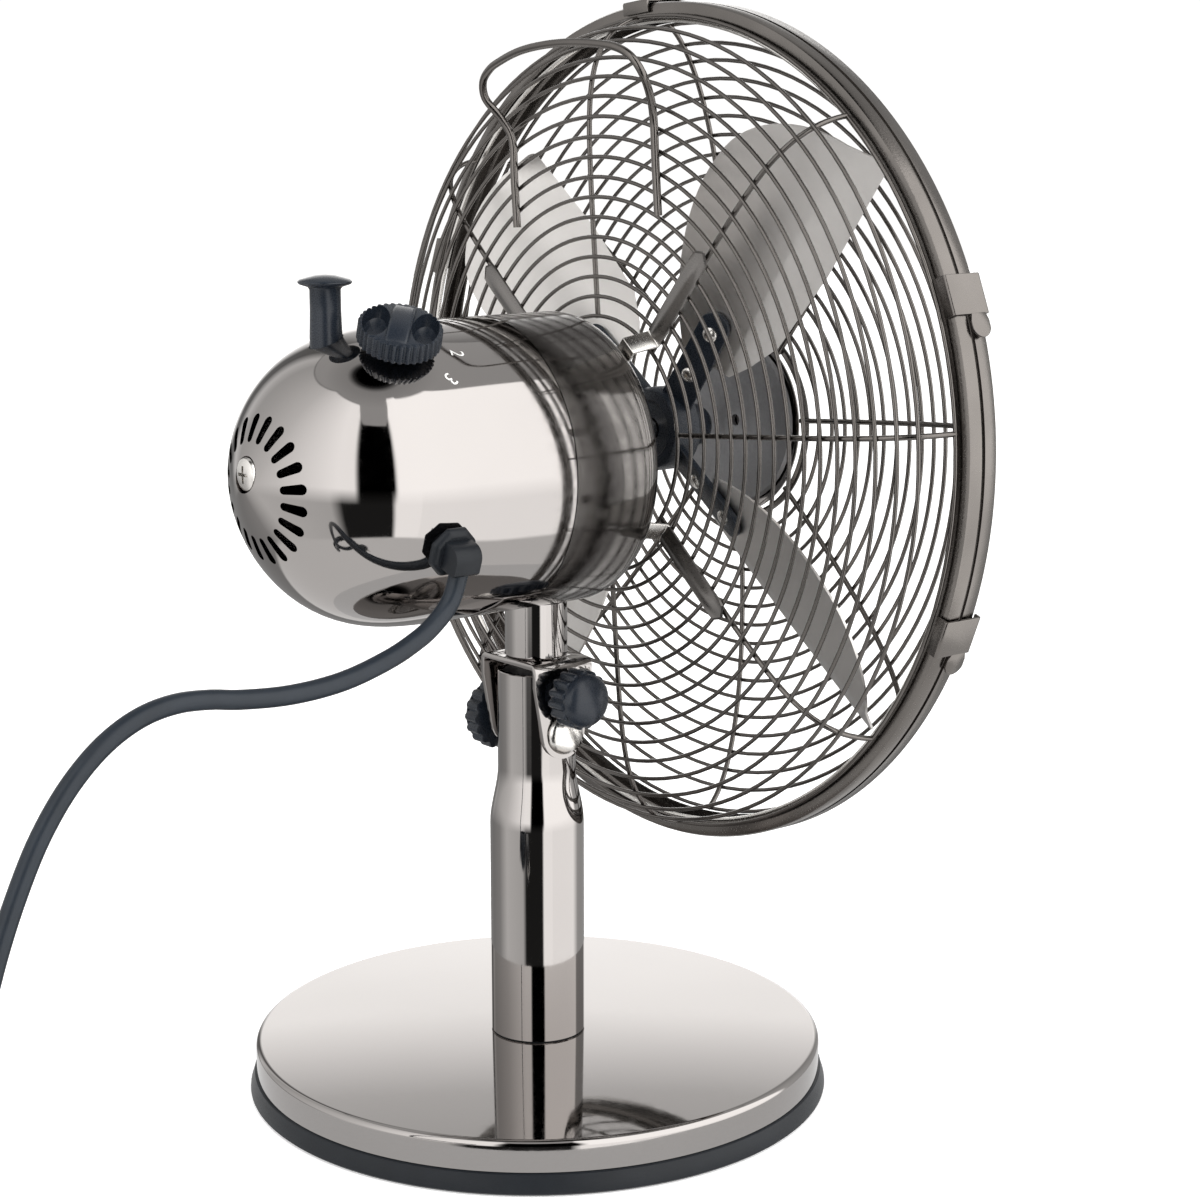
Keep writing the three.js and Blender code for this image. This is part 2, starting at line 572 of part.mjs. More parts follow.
function rib(angle, bowl, from, to, lift) {
  const points = [];
  const steps = 6;
  for (let i = 0; i <= steps; i += 1) {
    const share = i / steps;
    const r = from + (to - from) * (1 - (1 - share) ** 1.7);
    points.push([r * Math.cos(angle), bowl(r) + lift, SHAFT_Z + r * Math.sin(angle)]);
  }
  return solid(bar(points, RIB, 3, steps));
}

function grille(bowl, from, to, lift) {
  const radii = [...ringRadii(bowl, from, to - 9, 27), to];
  const wires = radii.map((r) => wireRing(r, bowl(r)));
  for (let i = 0; i < 8; i += 1) {
    wires.push(rib(CAGE_TURN + i * Math.PI / 4, bowl, from, to - 0.12, lift));
  }
  return join(wires);
}

function buildCage() {
  add('rear_grille', grille(rearBowl, 61, 163.3, -0.5), darkWire());
  add('front_grille', grille(frontBowl, BADGE_RADIUS + 1.8, 161, 0.5), darkWire());
  const section = (y, wall, flange) => onShaft([
    [161.6, y], [RIM_RADIUS, y], [RIM_RADIUS, wall], [RIM_RADIUS - 1, wall], [RIM_RADIUS - 1, flange], [161.6, flange],
  ], 40);
  add('rear_rim', section(REAR_RIM_Y, REAR_RIM_Y - 6, REAR_RIM_Y - 1.1), smokedChrome());
  add('front_rim', section(FRONT_RIM_Y, FRONT_RIM_Y + 6.8, FRONT_RIM_Y + 1.1), smokedChrome());
  add('badge', onShaft([[0, -109], [28, -108.5], [35.6, -107.6], [BADGE_RADIUS, -105.6], [BADGE_RADIUS, -104.4],
    [35.4, -106.2], [0, -107.4]], 32), smokedChrome());

  // Carrying handle: one bent wire whose legs lie along the inside of the rear grille.
  const right = [
    [44.6, -31, 346], [44.6, -31, 366], [44.8, -31, 382], [47.2, -28, 390], [49.8, -22.5, 398.5], [47, -20, 404.8],
    [40.5, -18.8, 408.9], [30.3, -17.3, 411.4], [15, -15, 413.4],
  ];
  const left = right.map(([x, y, z]) => [-x, y, z]).reverse();
  const arch = bar([...right, [0, -14, 413.9], ...left], 1.6, 6, 44);
  add('handle', arch.translate(0, 0, -SHAFT_Z).rotateY(-CAGE_TURN).translate(0, 0, SHAFT_Z), darkWire());

  for (let i = 0; i < 4; i += 1) {
    add(`grille_stay_${i + 1}`, stay(CAGE_TURN + Math.PI / 4 + i * Math.PI / 2), brushedBlade());
  }
}

// Pressed stay: a strip with a ridge that lies on the back of the rings and a foot on the housing.
function stay(angle) {
  const from = 61;
  const to = 97;
  const half = 4.3;
  const lean = Math.atan2(rearBowl(to) - rearBowl(from), to - from);
  const strip = new THREE.Shape();
  strip.moveTo(0, -half);
  strip.lineTo(to - from - half, -half);
  strip.absarc(to - from - half, 0, half, -Math.PI / 2, Math.PI / 2, false);
  strip.lineTo(0, half);
  strip.closePath();
  const flat = solid(slab(strip, 1.1, 5));
  const ridge = slab(outline([[-1.7, 0.9], [1.7, 0.9], [0, 2.1]]), to - from - 8);
  ridge.rotateX(Math.PI / 2).rotateZ(Math.PI / 2).translate(2, 0, 0);
  const body = geometryOf(flat.add(solid(ridge)));
  // Local frame: X outwards, Z to the rear.
  body.rotateY(-lean);
  body.translate(from, 0, rearBowl(from) + WIRE + GAP);
  body.rotateX(-Math.PI / 2);
  body.rotateY(-angle);
  return body.translate(0, 0, SHAFT_Z);
}

const CLIP_ANGLES = [84.5, 158.2, 201.3, 338.7, 21.8];

function buildClips() {
  const inside = RIM_RADIUS + 0.5;
  const rear = REAR_RIM_Y + 0.5;
  const front = FRONT_RIM_Y - 1.1;
  // Section across the rim, X radial and Y along the fan's axis.
  const section = outline([
    [inside - 4.3, rear], [inside - 4.3, rear + 1], [inside + 1, rear + 1], [inside + 1, front - 1],
    [inside - 2, front - 1], [inside - 2, front], [inside, front], [inside, rear],
  ]);
  CLIP_ANGLES.forEach((degrees, i) => {
    const length = 15;
    const clasp = solid(slab(section, length).translate(0, 0, -length / 2));
    const middle = 0.5 * (rear + front) - 3;
    const tongue = slab(circleShape(5.2, 10), 1.1).rotateY(Math.PI / 2).translate(inside, middle, length / 2 + 3.5);
    const tongueNeck = solid(box(1, 7, 8, inside + 0.5, middle, length / 2 + 1));
    const body = geometryOf(clasp.add(solid(tongue)).add(tongueNeck));
    body.rotateY(-degrees * Math.PI / 180).translate(0, 0, SHAFT_Z);
    add(`rim_clip_${i + 1}`, body, brightSteel());
  });
}

// ---- controls -----------------------------------------------------------------------------

function buildControls() {
  const skirt = solid(slab(gripShape(15.6, 0.9, 16), 7.6, 1).translate(0, 0, 2.4));
  const bowl = [[0, 4], [6, 4.6], [9, 6.5], [10, 12], [0, 12]];
  const pockets = [1, -1].map((side) => solid(turnedUp(bowl, 16).scale(1, 0.48, 1).translate(0, side * 9, 0)));
  const arch = outline([[-13.4, 6], [13.4, 6], [13.4, 9.9], [8, 11.8], [0, 12.8], [-8, 11.8], [-13.4, 9.9]]);
  const grip = solid(slab(arch, 8.4).rotateX(Math.PI / 2).translate(0, 4.2, 0));
  const spindle = solid(turnedUp(disc(3, -8, 3), 16));
  const dial = geometryOf(skirt.subtract(join(pockets)).add(grip).add(spindle)).rotateZ(DIAL_REST);
  add('speed_dial', onDial(dial), bluePlastic());
  add('speed_switch', onDial(box(20, 20, 13, 0, 0, -16.4)), blackPlastic());
  add('oscillation_knob', turnedUp([
    [0, 286], [3.4, 286], [3.4, 300], [5.6, 300.6], [6, 326], [7.2, 327.2], [9.9, 327.8], [9.7, 329.4], [0, 330.8],
  ], 20).translate(0, PULL_Y, 0), bluePlastic());
}

// ---- mains cord ---------------------------------------------------------------------------

// Free stretch: out of the gland, a sweep to the rear, then down to the table and the coil.
const CORD_ROUTE = [
  [-57.5, 82.5, 217.3], [-57.8, 91.5, 208.9], [-57.9, 100, 204.2], [-58, 109.1, 200.5],
  [-58.2, 128.3, 195.5], [-58.5, 150, 193.9], [-58.8, 170.8, 195.4], [-59, 182, 197.2],
  [-59.4, 195, 197.8], [-59.9, 208, 195.4], [-60.5, 221.5, 188.8], [-61.1, 234.5, 177.6],
  [-61.7, 246, 162.6], [-62.3, 255.5, 144.8], [-62.9, 263.5, 126], [-63.5, 270.2, 106], [-64.2, 276.4, 86],
  [-65, 283, 65.6], [-65.7, 291, 46], [-66.3, 302.5, 28.4], [-66.8, 317.5, 14.6], [-67.4, 335, 6.6],
  [-68, 352, 3.9],
];
const COIL_RADIUS = 38;          // middle of the coil's turns
const COIL_HALF_WIDTH = 7.4;
const COIL_BOTTOM = 1.5;
const COIL_TOP = 23;
const ROUTE_END = CORD_ROUTE[CORD_ROUTE.length - 1];
const COIL_X = ROUTE_END[0] - COIL_RADIUS - COIL_HALF_WIDTH - CORD_RADIUS - GAP;
const COIL_Y = ROUTE_END[1];
const PLUG_X = COIL_X - COIL_RADIUS - CORD_RADIUS;
const PLUG_Y = COIL_Y - 27;      // tip of the plug's strain relief, beside the coil
const PLUG_Z = 12.4;

function glandPoint(alongHood) {
  const up = new THREE.Vector3(Math.sin(GLAND_ANGLE), 0, -Math.cos(GLAND_ANGLE));
  return GLAND_FOOT.clone().addScaledVector(GLAND_OUT, CORD_LIFT).addScaledVector(up, alongHood).toArray();
}

function buildCord() {
  const whole = [glandPoint(0.9), glandPoint(-2.5), glandPoint(-6.5), ...CORD_ROUTE];
  add('cord_tube', bar(whole, CORD_RADIUS, 8, 32), cordRubber());
  const inner = COIL_RADIUS - COIL_HALF_WIDTH;
  const outer = COIL_RADIUS + COIL_HALF_WIDTH;
  const round = 2.5;
  add('cord_coil', turnedUp([
    [inner, COIL_BOTTOM + round], [inner + round, COIL_BOTTOM], [outer - round, COIL_BOTTOM],
    [outer, COIL_BOTTOM + round], [outer, COIL_TOP - round], [outer - round, COIL_TOP],
    [inner + round, COIL_TOP], [inner, COIL_TOP - round],
  ], 24).translate(COIL_X, COIL_Y, 0), cordRubber());

  const height = COIL_TOP - COIL_BOTTOM;
  const middle = (COIL_TOP + COIL_BOTTOM) / 2;
  const strap = 1;
  const slack = 2 * GAP;
  const across = 2 * (COIL_HALF_WIDTH + slack);
  const up = height + 2 * GAP;
  const loop = solid(box(7, across + 2 * strap, up + 2 * strap, COIL_X, COIL_Y + COIL_RADIUS, middle));
  const hollow = solid(box(9, across, up, COIL_X, COIL_Y + COIL_RADIUS, middle));
  add('cord_tie', loop.subtract(hollow), blackPlastic());

  // Moulded two-pin plug lying flat, its pins away from the coil.
  const relief = solid(turned([[0, 0], [4.4, 0], [7, -26], [0, -26]], 14));
  const plan = new THREE.Shape();
  plan.moveTo(-7, -25);
  plan.bezierCurveTo(-14, -29, -17, -36, -17.5, -46);
  plan.lineTo(-17.5, -60);
  plan.lineTo(17.5, -60);
  plan.lineTo(17.5, -46);
  plan.bezierCurveTo(17, -36, 14, -29, 7, -25);
  plan.closePath();
  const moulding = solid(slab(plan, 24, 4).translate(0, 0, -12));
  const pins = [1, -1].map((side) => solid(
    turned([[0, -56], [2.4, -56], [2.4, -77.6], [1.3, -79], [0, -79]], 12).translate(9.5 * side, 0, 0)));
  const plug = join([relief, moulding, ...pins]).translate([PLUG_X, PLUG_Y, PLUG_Z]);
  add('plug', plug, blackPlastic());
}

buildBase();
buildColumn();
buildYoke();
buildKnobs();
buildHousing();
buildGland();
buildMotor();
buildRotor();
buildCage();
buildClips();
buildControls();
buildCord();

export default fan;
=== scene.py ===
"""Looks of the oscillating desk fan: fine shapes, materials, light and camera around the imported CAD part."""

import json
import math

import bmesh
import bpy
from mathutils import Matrix, Vector


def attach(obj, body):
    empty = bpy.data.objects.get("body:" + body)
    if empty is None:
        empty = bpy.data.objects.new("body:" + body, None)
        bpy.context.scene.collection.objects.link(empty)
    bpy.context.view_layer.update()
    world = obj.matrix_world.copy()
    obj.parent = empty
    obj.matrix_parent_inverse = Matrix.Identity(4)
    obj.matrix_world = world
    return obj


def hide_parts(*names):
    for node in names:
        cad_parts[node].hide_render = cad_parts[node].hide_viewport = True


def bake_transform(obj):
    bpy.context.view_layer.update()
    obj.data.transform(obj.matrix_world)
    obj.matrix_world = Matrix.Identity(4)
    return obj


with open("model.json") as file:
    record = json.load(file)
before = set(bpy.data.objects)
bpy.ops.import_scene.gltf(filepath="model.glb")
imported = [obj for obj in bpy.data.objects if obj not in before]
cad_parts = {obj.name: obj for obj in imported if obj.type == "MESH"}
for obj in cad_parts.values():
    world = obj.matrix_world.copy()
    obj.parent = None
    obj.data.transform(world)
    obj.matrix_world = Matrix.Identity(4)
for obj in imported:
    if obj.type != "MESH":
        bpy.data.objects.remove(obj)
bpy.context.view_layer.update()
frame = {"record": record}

MM = 0.001
GAP = 0.3
TURN = 2 * math.pi
scene = bpy.context.scene

# ---- sizes shared with the CAD part, in millimetres ------------------------------------------

BASE_RADIUS = 114.6
BASE_TOP = 20.4
FOOT_RADIUS = 117.2
COLUMN_RADIUS = 18.9
NECKED_RADIUS = 15.6
COLUMN_TOP = 171.2
PIVOT_Z = 147.8
CLAMP_RISE = 15.8
CLAMP_Z = PIVOT_Z + CLAMP_RISE
CLAMP_BOLT_RADIUS = 2.5
TILT_LIMIT = math.radians(15)
EAR_INSIDE = 15.9
EAR_OUTSIDE = 17.9
YOKE_TOP = 176.8
NECK_RADIUS = 12.4
HOUSING_RADIUS = 57
HOUSING_Z = 255
HOUSING_SEAM = 24
DOME_START = 48.3
DOME_LENGTH = 84.1
SCREW_Z = 261
SCREW_SEAT = DOME_START + DOME_LENGTH - 4.4
SHAFT_Z = 262
CAGE_TURN = math.radians(-5)
CAGE_RADIUS = 163.5
RIM_RADIUS = 168.8
BADGE_RADIUS = 38
BLADE_Y = -66
BLADE_PITCH = math.radians(24)
BLADE_TURN = math.radians(36.5)
DIAL_LEAN = math.radians(26)
DIAL_SLOPE = math.radians(8.3)
DIAL_REST = math.radians(-39.5)
DIAL_Y = 80.6
PULL_Y = 95.3
GLAND_Y = 79.5
GLAND_ANGLE = math.radians(200)
VENT_COUNT = 20
VENT_TURN = math.radians(11.6)
CORD_RADIUS = 3.5
CORD_LIFT = 8.8
ROOM_TURN = 3                     # degrees by which the studio stands turned


# ---- camera ----------------------------------------------------------------------------------

def place_camera():
    data = bpy.data.cameras.new("camera")
    data.lens = 73.8
    data.sensor_width = 36
    camera = bpy.data.objects.new("camera", data)
    scene.collection.objects.link(camera)
    scene.camera = camera
    forward = Vector((0.7624, -0.6163, -0.1973)).normalized()
    right = forward.cross(Vector((0, 0, 1))).normalized()
    up = right.cross(forward)
    axes = Matrix((right, up, -forward)).transposed()
    camera.matrix_world = Matrix.Translation((-0.7582, 0.5803, 0.3908)) @ axes.to_4x4()


# ---- materials -------------------------------------------------------------------------------

def noise(nodes, links, vector, scale, detail):
    texture = nodes.new("ShaderNodeTexNoise")
    texture.inputs["Scale"].default_value = scale
    texture.inputs["Detail"].default_value = detail
    links.new(vector, texture.inputs["Vector"])
    return texture.outputs["Fac"]


def look(name, colour, roughness, metallic=0.0, tone=0.05, cloud=14.0, grain=900.0, relief=0.03,
         uneven=0.04, stretch=(1, 1, 1), gloss=0.5):
    """A surface whose colour drifts in soft clouds, with fine grain in its roughness and relief."""
    material = bpy.data.materials.new(name)
    material.use_nodes = True
    nodes = material.node_tree.nodes
    links = material.node_tree.links
    shader = nodes["Principled BSDF"]
    shader.inputs["Metallic"].default_value = metallic
    shader.inputs["Specular IOR Level"].default_value = gloss
    place = nodes.new("ShaderNodeTexCoord")
    mapping = nodes.new("ShaderNodeMapping")
    mapping.inputs["Scale"].default_value = stretch
    links.new(place.outputs["Object"], mapping.inputs["Vector"])
    vector = mapping.outputs["Vector"]

    ramp = nodes.new("ShaderNodeValToRGB")
    ramp.color_ramp.elements[0].position = 0.3
    ramp.color_ramp.elements[1].position = 0.7
    ramp.color_ramp.elements[0].color = [c * (1 - tone) for c in colour] + [1]
    ramp.color_ramp.elements[1].color = [min(1, c * (1 + tone)) for c in colour] + [1]
    links.new(noise(nodes, links, vector, cloud, 3), ramp.inputs["Fac"])
    links.new(ramp.outputs["Color"], shader.inputs["Base Color"])

    fine = noise(nodes, links, vector, grain, 4)
    spread = nodes.new("ShaderNodeMapRange")
    spread.inputs["From Min"].default_value = 0.3
    spread.inputs["From Max"].default_value = 0.7
    spread.inputs["To Min"].default_value = max(0.02, roughness - uneven)
    spread.inputs["To Max"].default_value = roughness + uneven
    links.new(fine, spread.inputs["Value"])
    links.new(spread.outputs["Result"], shader.inputs["Roughness"])

    bump = nodes.new("ShaderNodeBump")
    bump.inputs["Strength"].default_value = relief
    bump.inputs["Distance"].default_value = 0.0004
    links.new(fine, bump.inputs["Height"])
    links.new(bump.outputs["Normal"], shader.inputs["Normal"])
    return material


# Colour, roughness, metallic, tone, cloud, grain, relief, unevenness, stretch and gloss.
FINISHES = {
    "smoked_chrome": ((0.37, 0.352, 0.342), 0.05, 1.0, 0.03, 9, 260, 0.004, 0.02),
    "rim_metal": ((0.17, 0.158, 0.148), 0.22, 1.0, 0.12, 30, 1500, 0.08, 0.06),
    "dark_wire": ((0.14, 0.13, 0.122), 0.2, 1.0, 0.1, 40, 1200, 0.05, 0.06),
    "bright_steel": ((0.78, 0.76, 0.73), 0.22, 1.0, 0.05, 60, 1500, 0.05, 0.06),
    "blade_metal": ((0.74, 0.72, 0.7), 0.36, 1.0, 0.04, 10, 600, 0.03, 0.05, (1, 1, 3)),
    "blue_plastic": ((0.012, 0.016, 0.023), 0.28, 0.0, 0.14, 60, 2200, 0.06, 0.05, (1, 1, 1), 0.35),
    "black_plastic": ((0.008, 0.010, 0.013), 0.4, 0.0, 0.15, 50, 2000, 0.1, 0.06, (1, 1, 1), 0.25),
    "cord_rubber": ((0.013, 0.018, 0.025), 0.36, 0.0, 0.12, 90, 2600, 0.08, 0.06, (1, 1, 1), 0.3),
    "foam_mat": ((0.02, 0.02, 0.022), 0.85, 0.0, 0.2, 120, 1800, 0.5, 0.08),
    "cast_alloy": ((0.5, 0.5, 0.51), 0.55, 0.9, 0.12, 40, 900, 0.3, 0.1),
    "core_steel": ((0.3, 0.3, 0.31), 0.5, 0.9, 0.15, 30, 900, 0.2, 0.1, (1, 12, 1)),
    "iron": ((0.07, 0.07, 0.07), 0.75, 0.3, 0.25, 50, 700, 0.5, 0.1),
    "copper_wire": ((0.5, 0.2, 0.08), 0.4, 0.9, 0.2, 200, 1500, 0.4, 0.1),
    "bronze": ((0.45, 0.3, 0.12), 0.42, 0.9, 0.15, 60, 900, 0.2, 0.1),
}

SURFACES = {name: look(name, *values) for name, values in FINISHES.items()}
PRINT = look("dial_print", (0.8, 0.8, 0.78), 0.5, 0.0, 0.03, 60, 900, 0.02, 0.04)
# Painted shade: the front shell is the same smoked chrome as the rear shell, darkened in colour to stand in
# for the darker reflections it shows.
FRONT_SHELL_PAINTED_SHADE = look("front_shell_painted_shade", (0.2, 0.19, 0.182), 0.12, 1.0, 0.05, 9, 260, 0.01, 0.03)
STAY_METAL = look("stay_metal", (0.2, 0.19, 0.182), 0.3, 1.0, 0.05, 10, 600, 0.03, 0.05, (1, 1, 3))


# ---- shapes: (points in millimetres, faces) ----------------------------------------------------

AXES = {
    "Z": lambda r, a, h: (r * math.cos(a), r * math.sin(a), h),
    "Y": lambda r, a, h: (r * math.cos(a), h, r * math.sin(a)),
    "X": lambda r, a, h: (h, r * math.cos(a), r * math.sin(a)),
}


def lathe(profile, segments=64, axis="Z", centre=(0, 0, 0)):
    """A profile of (radius, height) turned about an axis.

    It starts and ends on the axis, or closes on itself.
    """
    point = AXES[axis]
    verts, rings = [], []
    for radius, height in profile:
        start = len(verts)
        steps = 1 if radius < 1e-6 else segments
        for i in range(steps):
            x, y, z = point(radius, TURN * i / segments, height)
            verts.append((x + centre[0], y + centre[1], z + centre[2]))
        rings.append([start + i % steps for i in range(segments)])
    closed = profile[0][0] > 1e-6
    pairs = list(zip(rings, rings[1:]))
    if closed:
        pairs.append((rings[-1], rings[0]))
    faces = []
    for low, high in pairs:
        for i in range(segments):
            j = (i + 1) % segments
            corners = [low[i], low[j], high[j], high[i]]
            kept = [c for k, c in enumerate(corners) if c not in corners[:k]]
            if len(kept) > 2:
                faces.append(kept)
    return verts, faces


def prism(outline, low, high):
    """An outline in X and Y, extruded along Z."""
    count = len(outline)
    verts = [(x, y, low) for x, y in outline] + [(x, y, high) for x, y in outline]
    faces = [list(range(count - 1, -1, -1)), list(range(count, 2 * count))]
    for i in range(count):
        j = (i + 1) % count
        faces.append([i, j, count + j, count + i])
    return verts, faces


# A prism's outline stood in Y and Z and extruded along X, or in X and Z and extruded along Y.
ALONG_X = Matrix(((0, 0, 1), (1, 0, 0), (0, 1, 0))).to_4x4()
ALONG_Y = Matrix(((1, 0, 0), (0, 0, 1), (0, 1, 0))).to_4x4()


def box(x, y, z):
    return prism([(x[0], y[0]), (x[1], y[0]), (x[1], y[1]), (x[0], y[1])], z[0], z[1])


def rod(radius, low, high, segments, axis="Z", centre=(0, 0, 0)):
    """A plain round bar, which also bores the holes."""
    return lathe([(0, low), (radius, low), (radius, high), (0, high)], segments, axis, centre)


def stacked(outline, rows):
    """An outline repeated in rows of (scale, height), with a fan below and one face above."""
    count = len(outline)
    verts = [(0, 0, rows[0][1])] + [(x * s, y * s, z) for s, z in rows for x, y in outline]
    faces = [[0, 1 + (i + 1) % count, 1 + i] for i in range(count)]
    for r in range(len(rows) - 1):
        low = 1 + r * count
        high = low + count
        for i in range(count):
            j = (i + 1) % count
            faces.append([low + i, low + j, high + j, high + i])
    faces.append([1 + (len(rows) - 1) * count + i for i in range(count)])
    return verts, faces


def eased(share):
    """Rises from 0 to 1 with level ends."""
    return share * share * (3 - 2 * share)


def smooth_line(points, steps):
    """Points along a centripetal Catmull-Rom curve through the given ones."""
    p = [Vector(q) for q in points]
    p = [2 * p[0] - p[1]] + p + [2 * p[-1] - p[-2]]
    line = []
    for a, b, c, d in zip(p, p[1:], p[2:], p[3:]):
        ta = (b - a).length ** 0.5
        tb = (c - b).length ** 0.5
        tc = (d - c).length ** 0.5
        m1 = (c - b) + tb * ((b - a) / ta - (c - a) / (ta + tb))
        m2 = (c - b) + tb * ((d - c) / tc - (d - b) / (tb + tc))
        for i in range(steps):
            t = i / steps
            line.append((2 * t ** 3 - 3 * t * t + 1) * b + (t ** 3 - 2 * t * t + t) * m1
                        + (3 * t * t - 2 * t ** 3) * c + (t ** 3 - t * t) * m2)
    line.append(p[-2])
    return line


def tube(points, radius, sides=10, closed=False):
    """A round bar along points; radius may be one number or one for each point."""
    line = [Vector(q) for q in points]
    count = len(line)
    radii = radius if isinstance(radius, list) else [radius] * count
    normal = None
    verts, faces = [], []
    for i, q in enumerate(line):
        before = line[i - 1] if i or closed else q
        after = line[(i + 1) % count] if i + 1 < count or closed else q
        tangent = (after - before).normalized()
        if normal is None:
            normal = tangent.orthogonal().normalized()
        normal = (normal - tangent * normal.dot(tangent)).normalized()
        across = tangent.cross(normal)
        for k in range(sides):
            angle = TURN * k / sides
            verts.append(tuple(q + (normal * math.cos(angle) + across * math.sin(angle)) * radii[i]))
    rows = count if closed else count - 1
    for i in range(rows):
        j = (i + 1) % count
        for k in range(sides):
            m = (k + 1) % sides
            faces.append([i * sides + k, i * sides + m, j * sides + m, j * sides + k])
    if not closed:
        faces.append(list(range(sides - 1, -1, -1)))
        faces.append([(count - 1) * sides + k for k in range(sides)])
    return verts, faces


def circle(radius, y, segments):
    """Points of a ring round the motor shaft's axis."""
    point = AXES["Y"]
    centre = Vector((0, 0, SHAFT_Z))
    return [Vector(point(radius, TURN * i / segments, y)) + centre for i in range(segments)]


def joined(*shapes):
    verts, faces = [], []
    for v, f in shapes:
        start = len(verts)
        verts += v
        faces += [[start + i for i in face] for face in f]
    return verts, faces


def moved(shape, matrix):
    return [tuple(matrix @ Vector(v)) for v in shape[0]], shape[1]


def arc(x, y, radius, start, end, steps):
    """Points of an arc, in degrees."""
    angles = [math.radians(start + (end - start) * i / steps) for i in range(steps + 1)]
    return [(x + radius * math.cos(a), y + radius * math.sin(a)) for a in angles]


def fluted(radius, depth, teeth, fine=6):
    """Outline of a grip with rounded flutes."""
    count = teeth * fine
    outline = []
    for i in range(count):
        angle = TURN * i / count
        wave = 0.5 - 0.5 * math.cos(teeth * angle)
        r = radius - depth * wave ** 1.6
        outline.append((r * math.cos(angle), r * math.sin(angle)))
    return outline


# ---- pieces ------------------------------------------------------------------------------------

def plain_object(name, shape):
    mesh = bpy.data.meshes.new(name)
    mesh.from_pydata([tuple(c * MM for c in v) for v in shape[0]], [], shape[1])
    mesh.validate()
    tidy = bmesh.new()
    tidy.from_mesh(mesh)
    bmesh.ops.recalc_face_normals(tidy, faces=tidy.faces)
    tidy.to_mesh(mesh)
    tidy.free()
    thing = bpy.data.objects.new(name, mesh)
    scene.collection.objects.link(thing)
    return thing


def settle(thing):
    """Applies the modifiers."""
    bpy.context.view_layer.update()
    evaluated = thing.evaluated_get(bpy.context.evaluated_depsgraph_get())
    mesh = bpy.data.meshes.new_from_object(evaluated)
    thing.modifiers.clear()
    thing.data = mesh
    thing.data.name = thing.name


def cut(thing, cutter, operation="DIFFERENCE"):
    tool = plain_object("cutter", cutter)
    modifier = thing.modifiers.new("cut", "BOOLEAN")
    modifier.operation = operation
    modifier.solver = "EXACT"
    modifier.use_self = True
    modifier.object = tool
    settle(thing)
    bpy.data.objects.remove(tool, do_unlink=True)


def bevel(thing, width, segments=2, angle=35):
    modifier = thing.modifiers.new("bevel", "BEVEL")
    modifier.width = width * MM
    modifier.segments = segments
    modifier.limit_method = "ANGLE"
    modifier.angle_limit = math.radians(angle)
    modifier.use_clamp_overlap = True
    settle(thing)


def finish_piece(thing, slot, body, hides=(), sharp=35, material=None):
    thing.data.materials.clear()
    thing.data.materials.append(material or SURFACES[slot])
    thing.data.shade_smooth()
    thing.data.set_sharp_from_angle(angle=math.radians(sharp))
    if body:
        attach(thing, body)
    if hides:
        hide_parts(*hides)
    return thing


def piece(name, shape, slot, body, hides=(), round_edge=0, sharp=35, material=None):
    thing = plain_object(name, shape)
    if round_edge:
        bevel(thing, round_edge)
    return finish_piece(thing, slot, body, hides, sharp, material)


# ---- mains cord --------------------------------------------------------------------------------

def dome_radius(y):
    along = min(1, max(0, (y - DOME_START) / DOME_LENGTH))
    return HOUSING_RADIUS * (1 - along ** 3.7) ** (1 / 1.3)


GLAND_OUT = Vector((math.cos(GLAND_ANGLE), 0, math.sin(GLAND_ANGLE)))
GLAND_UP = Vector((math.sin(GLAND_ANGLE), 0, -math.cos(GLAND_ANGLE)))
GLAND_FOOT = Vector((0, GLAND_Y, HOUSING_Z)) + GLAND_OUT * dome_radius(GLAND_Y)


def gland_point(along_hood):
    return GLAND_FOOT + GLAND_OUT * CORD_LIFT + GLAND_UP * along_hood


CORD_ROUTE = [
    (-57.5, 82.5, 217.3), (-57.8, 91.5, 208.9), (-57.9, 100, 204.2), (-58, 109.1, 200.5),
    (-58.2, 128.3, 195.5), (-58.5, 150, 193.9), (-58.8, 170.8, 195.4), (-59, 182, 197.2),
    (-59.4, 195, 197.8), (-59.9, 208, 195.4), (-60.5, 221.5, 188.8), (-61.1, 234.5, 177.6),
    (-61.7, 246, 162.6), (-62.3, 255.5, 144.8), (-62.9, 263.5, 126), (-63.5, 270.2, 106),
    (-64.2, 276.4, 86), (-65, 283, 65.6), (-65.7, 291, 46), (-66.3, 302.5, 28.4), (-66.8, 317.5, 14.6),
    (-67.4, 335, 6.6), (-68, 352, 3.9),
]
CORD_JOIN = 7                     # route point at which the upper stretch meets the lower one
CORD_STEPS = 6                    # points made between two of the route
ROUTE_END = CORD_ROUTE[-1]
COIL_RADIUS = 38
COIL_HALF_WIDTH = 7.4
COIL_X = ROUTE_END[0] - COIL_RADIUS - COIL_HALF_WIDTH - CORD_RADIUS - GAP
COIL_Y = ROUTE_END[1]
COIL_TURNS = 5.5
PLUG_X = COIL_X - COIL_RADIUS - CORD_RADIUS
PLUG_Y = COIL_Y - 27
PLUG_Z = 12.4
PITCH = 7.15                      # turns lie this far apart


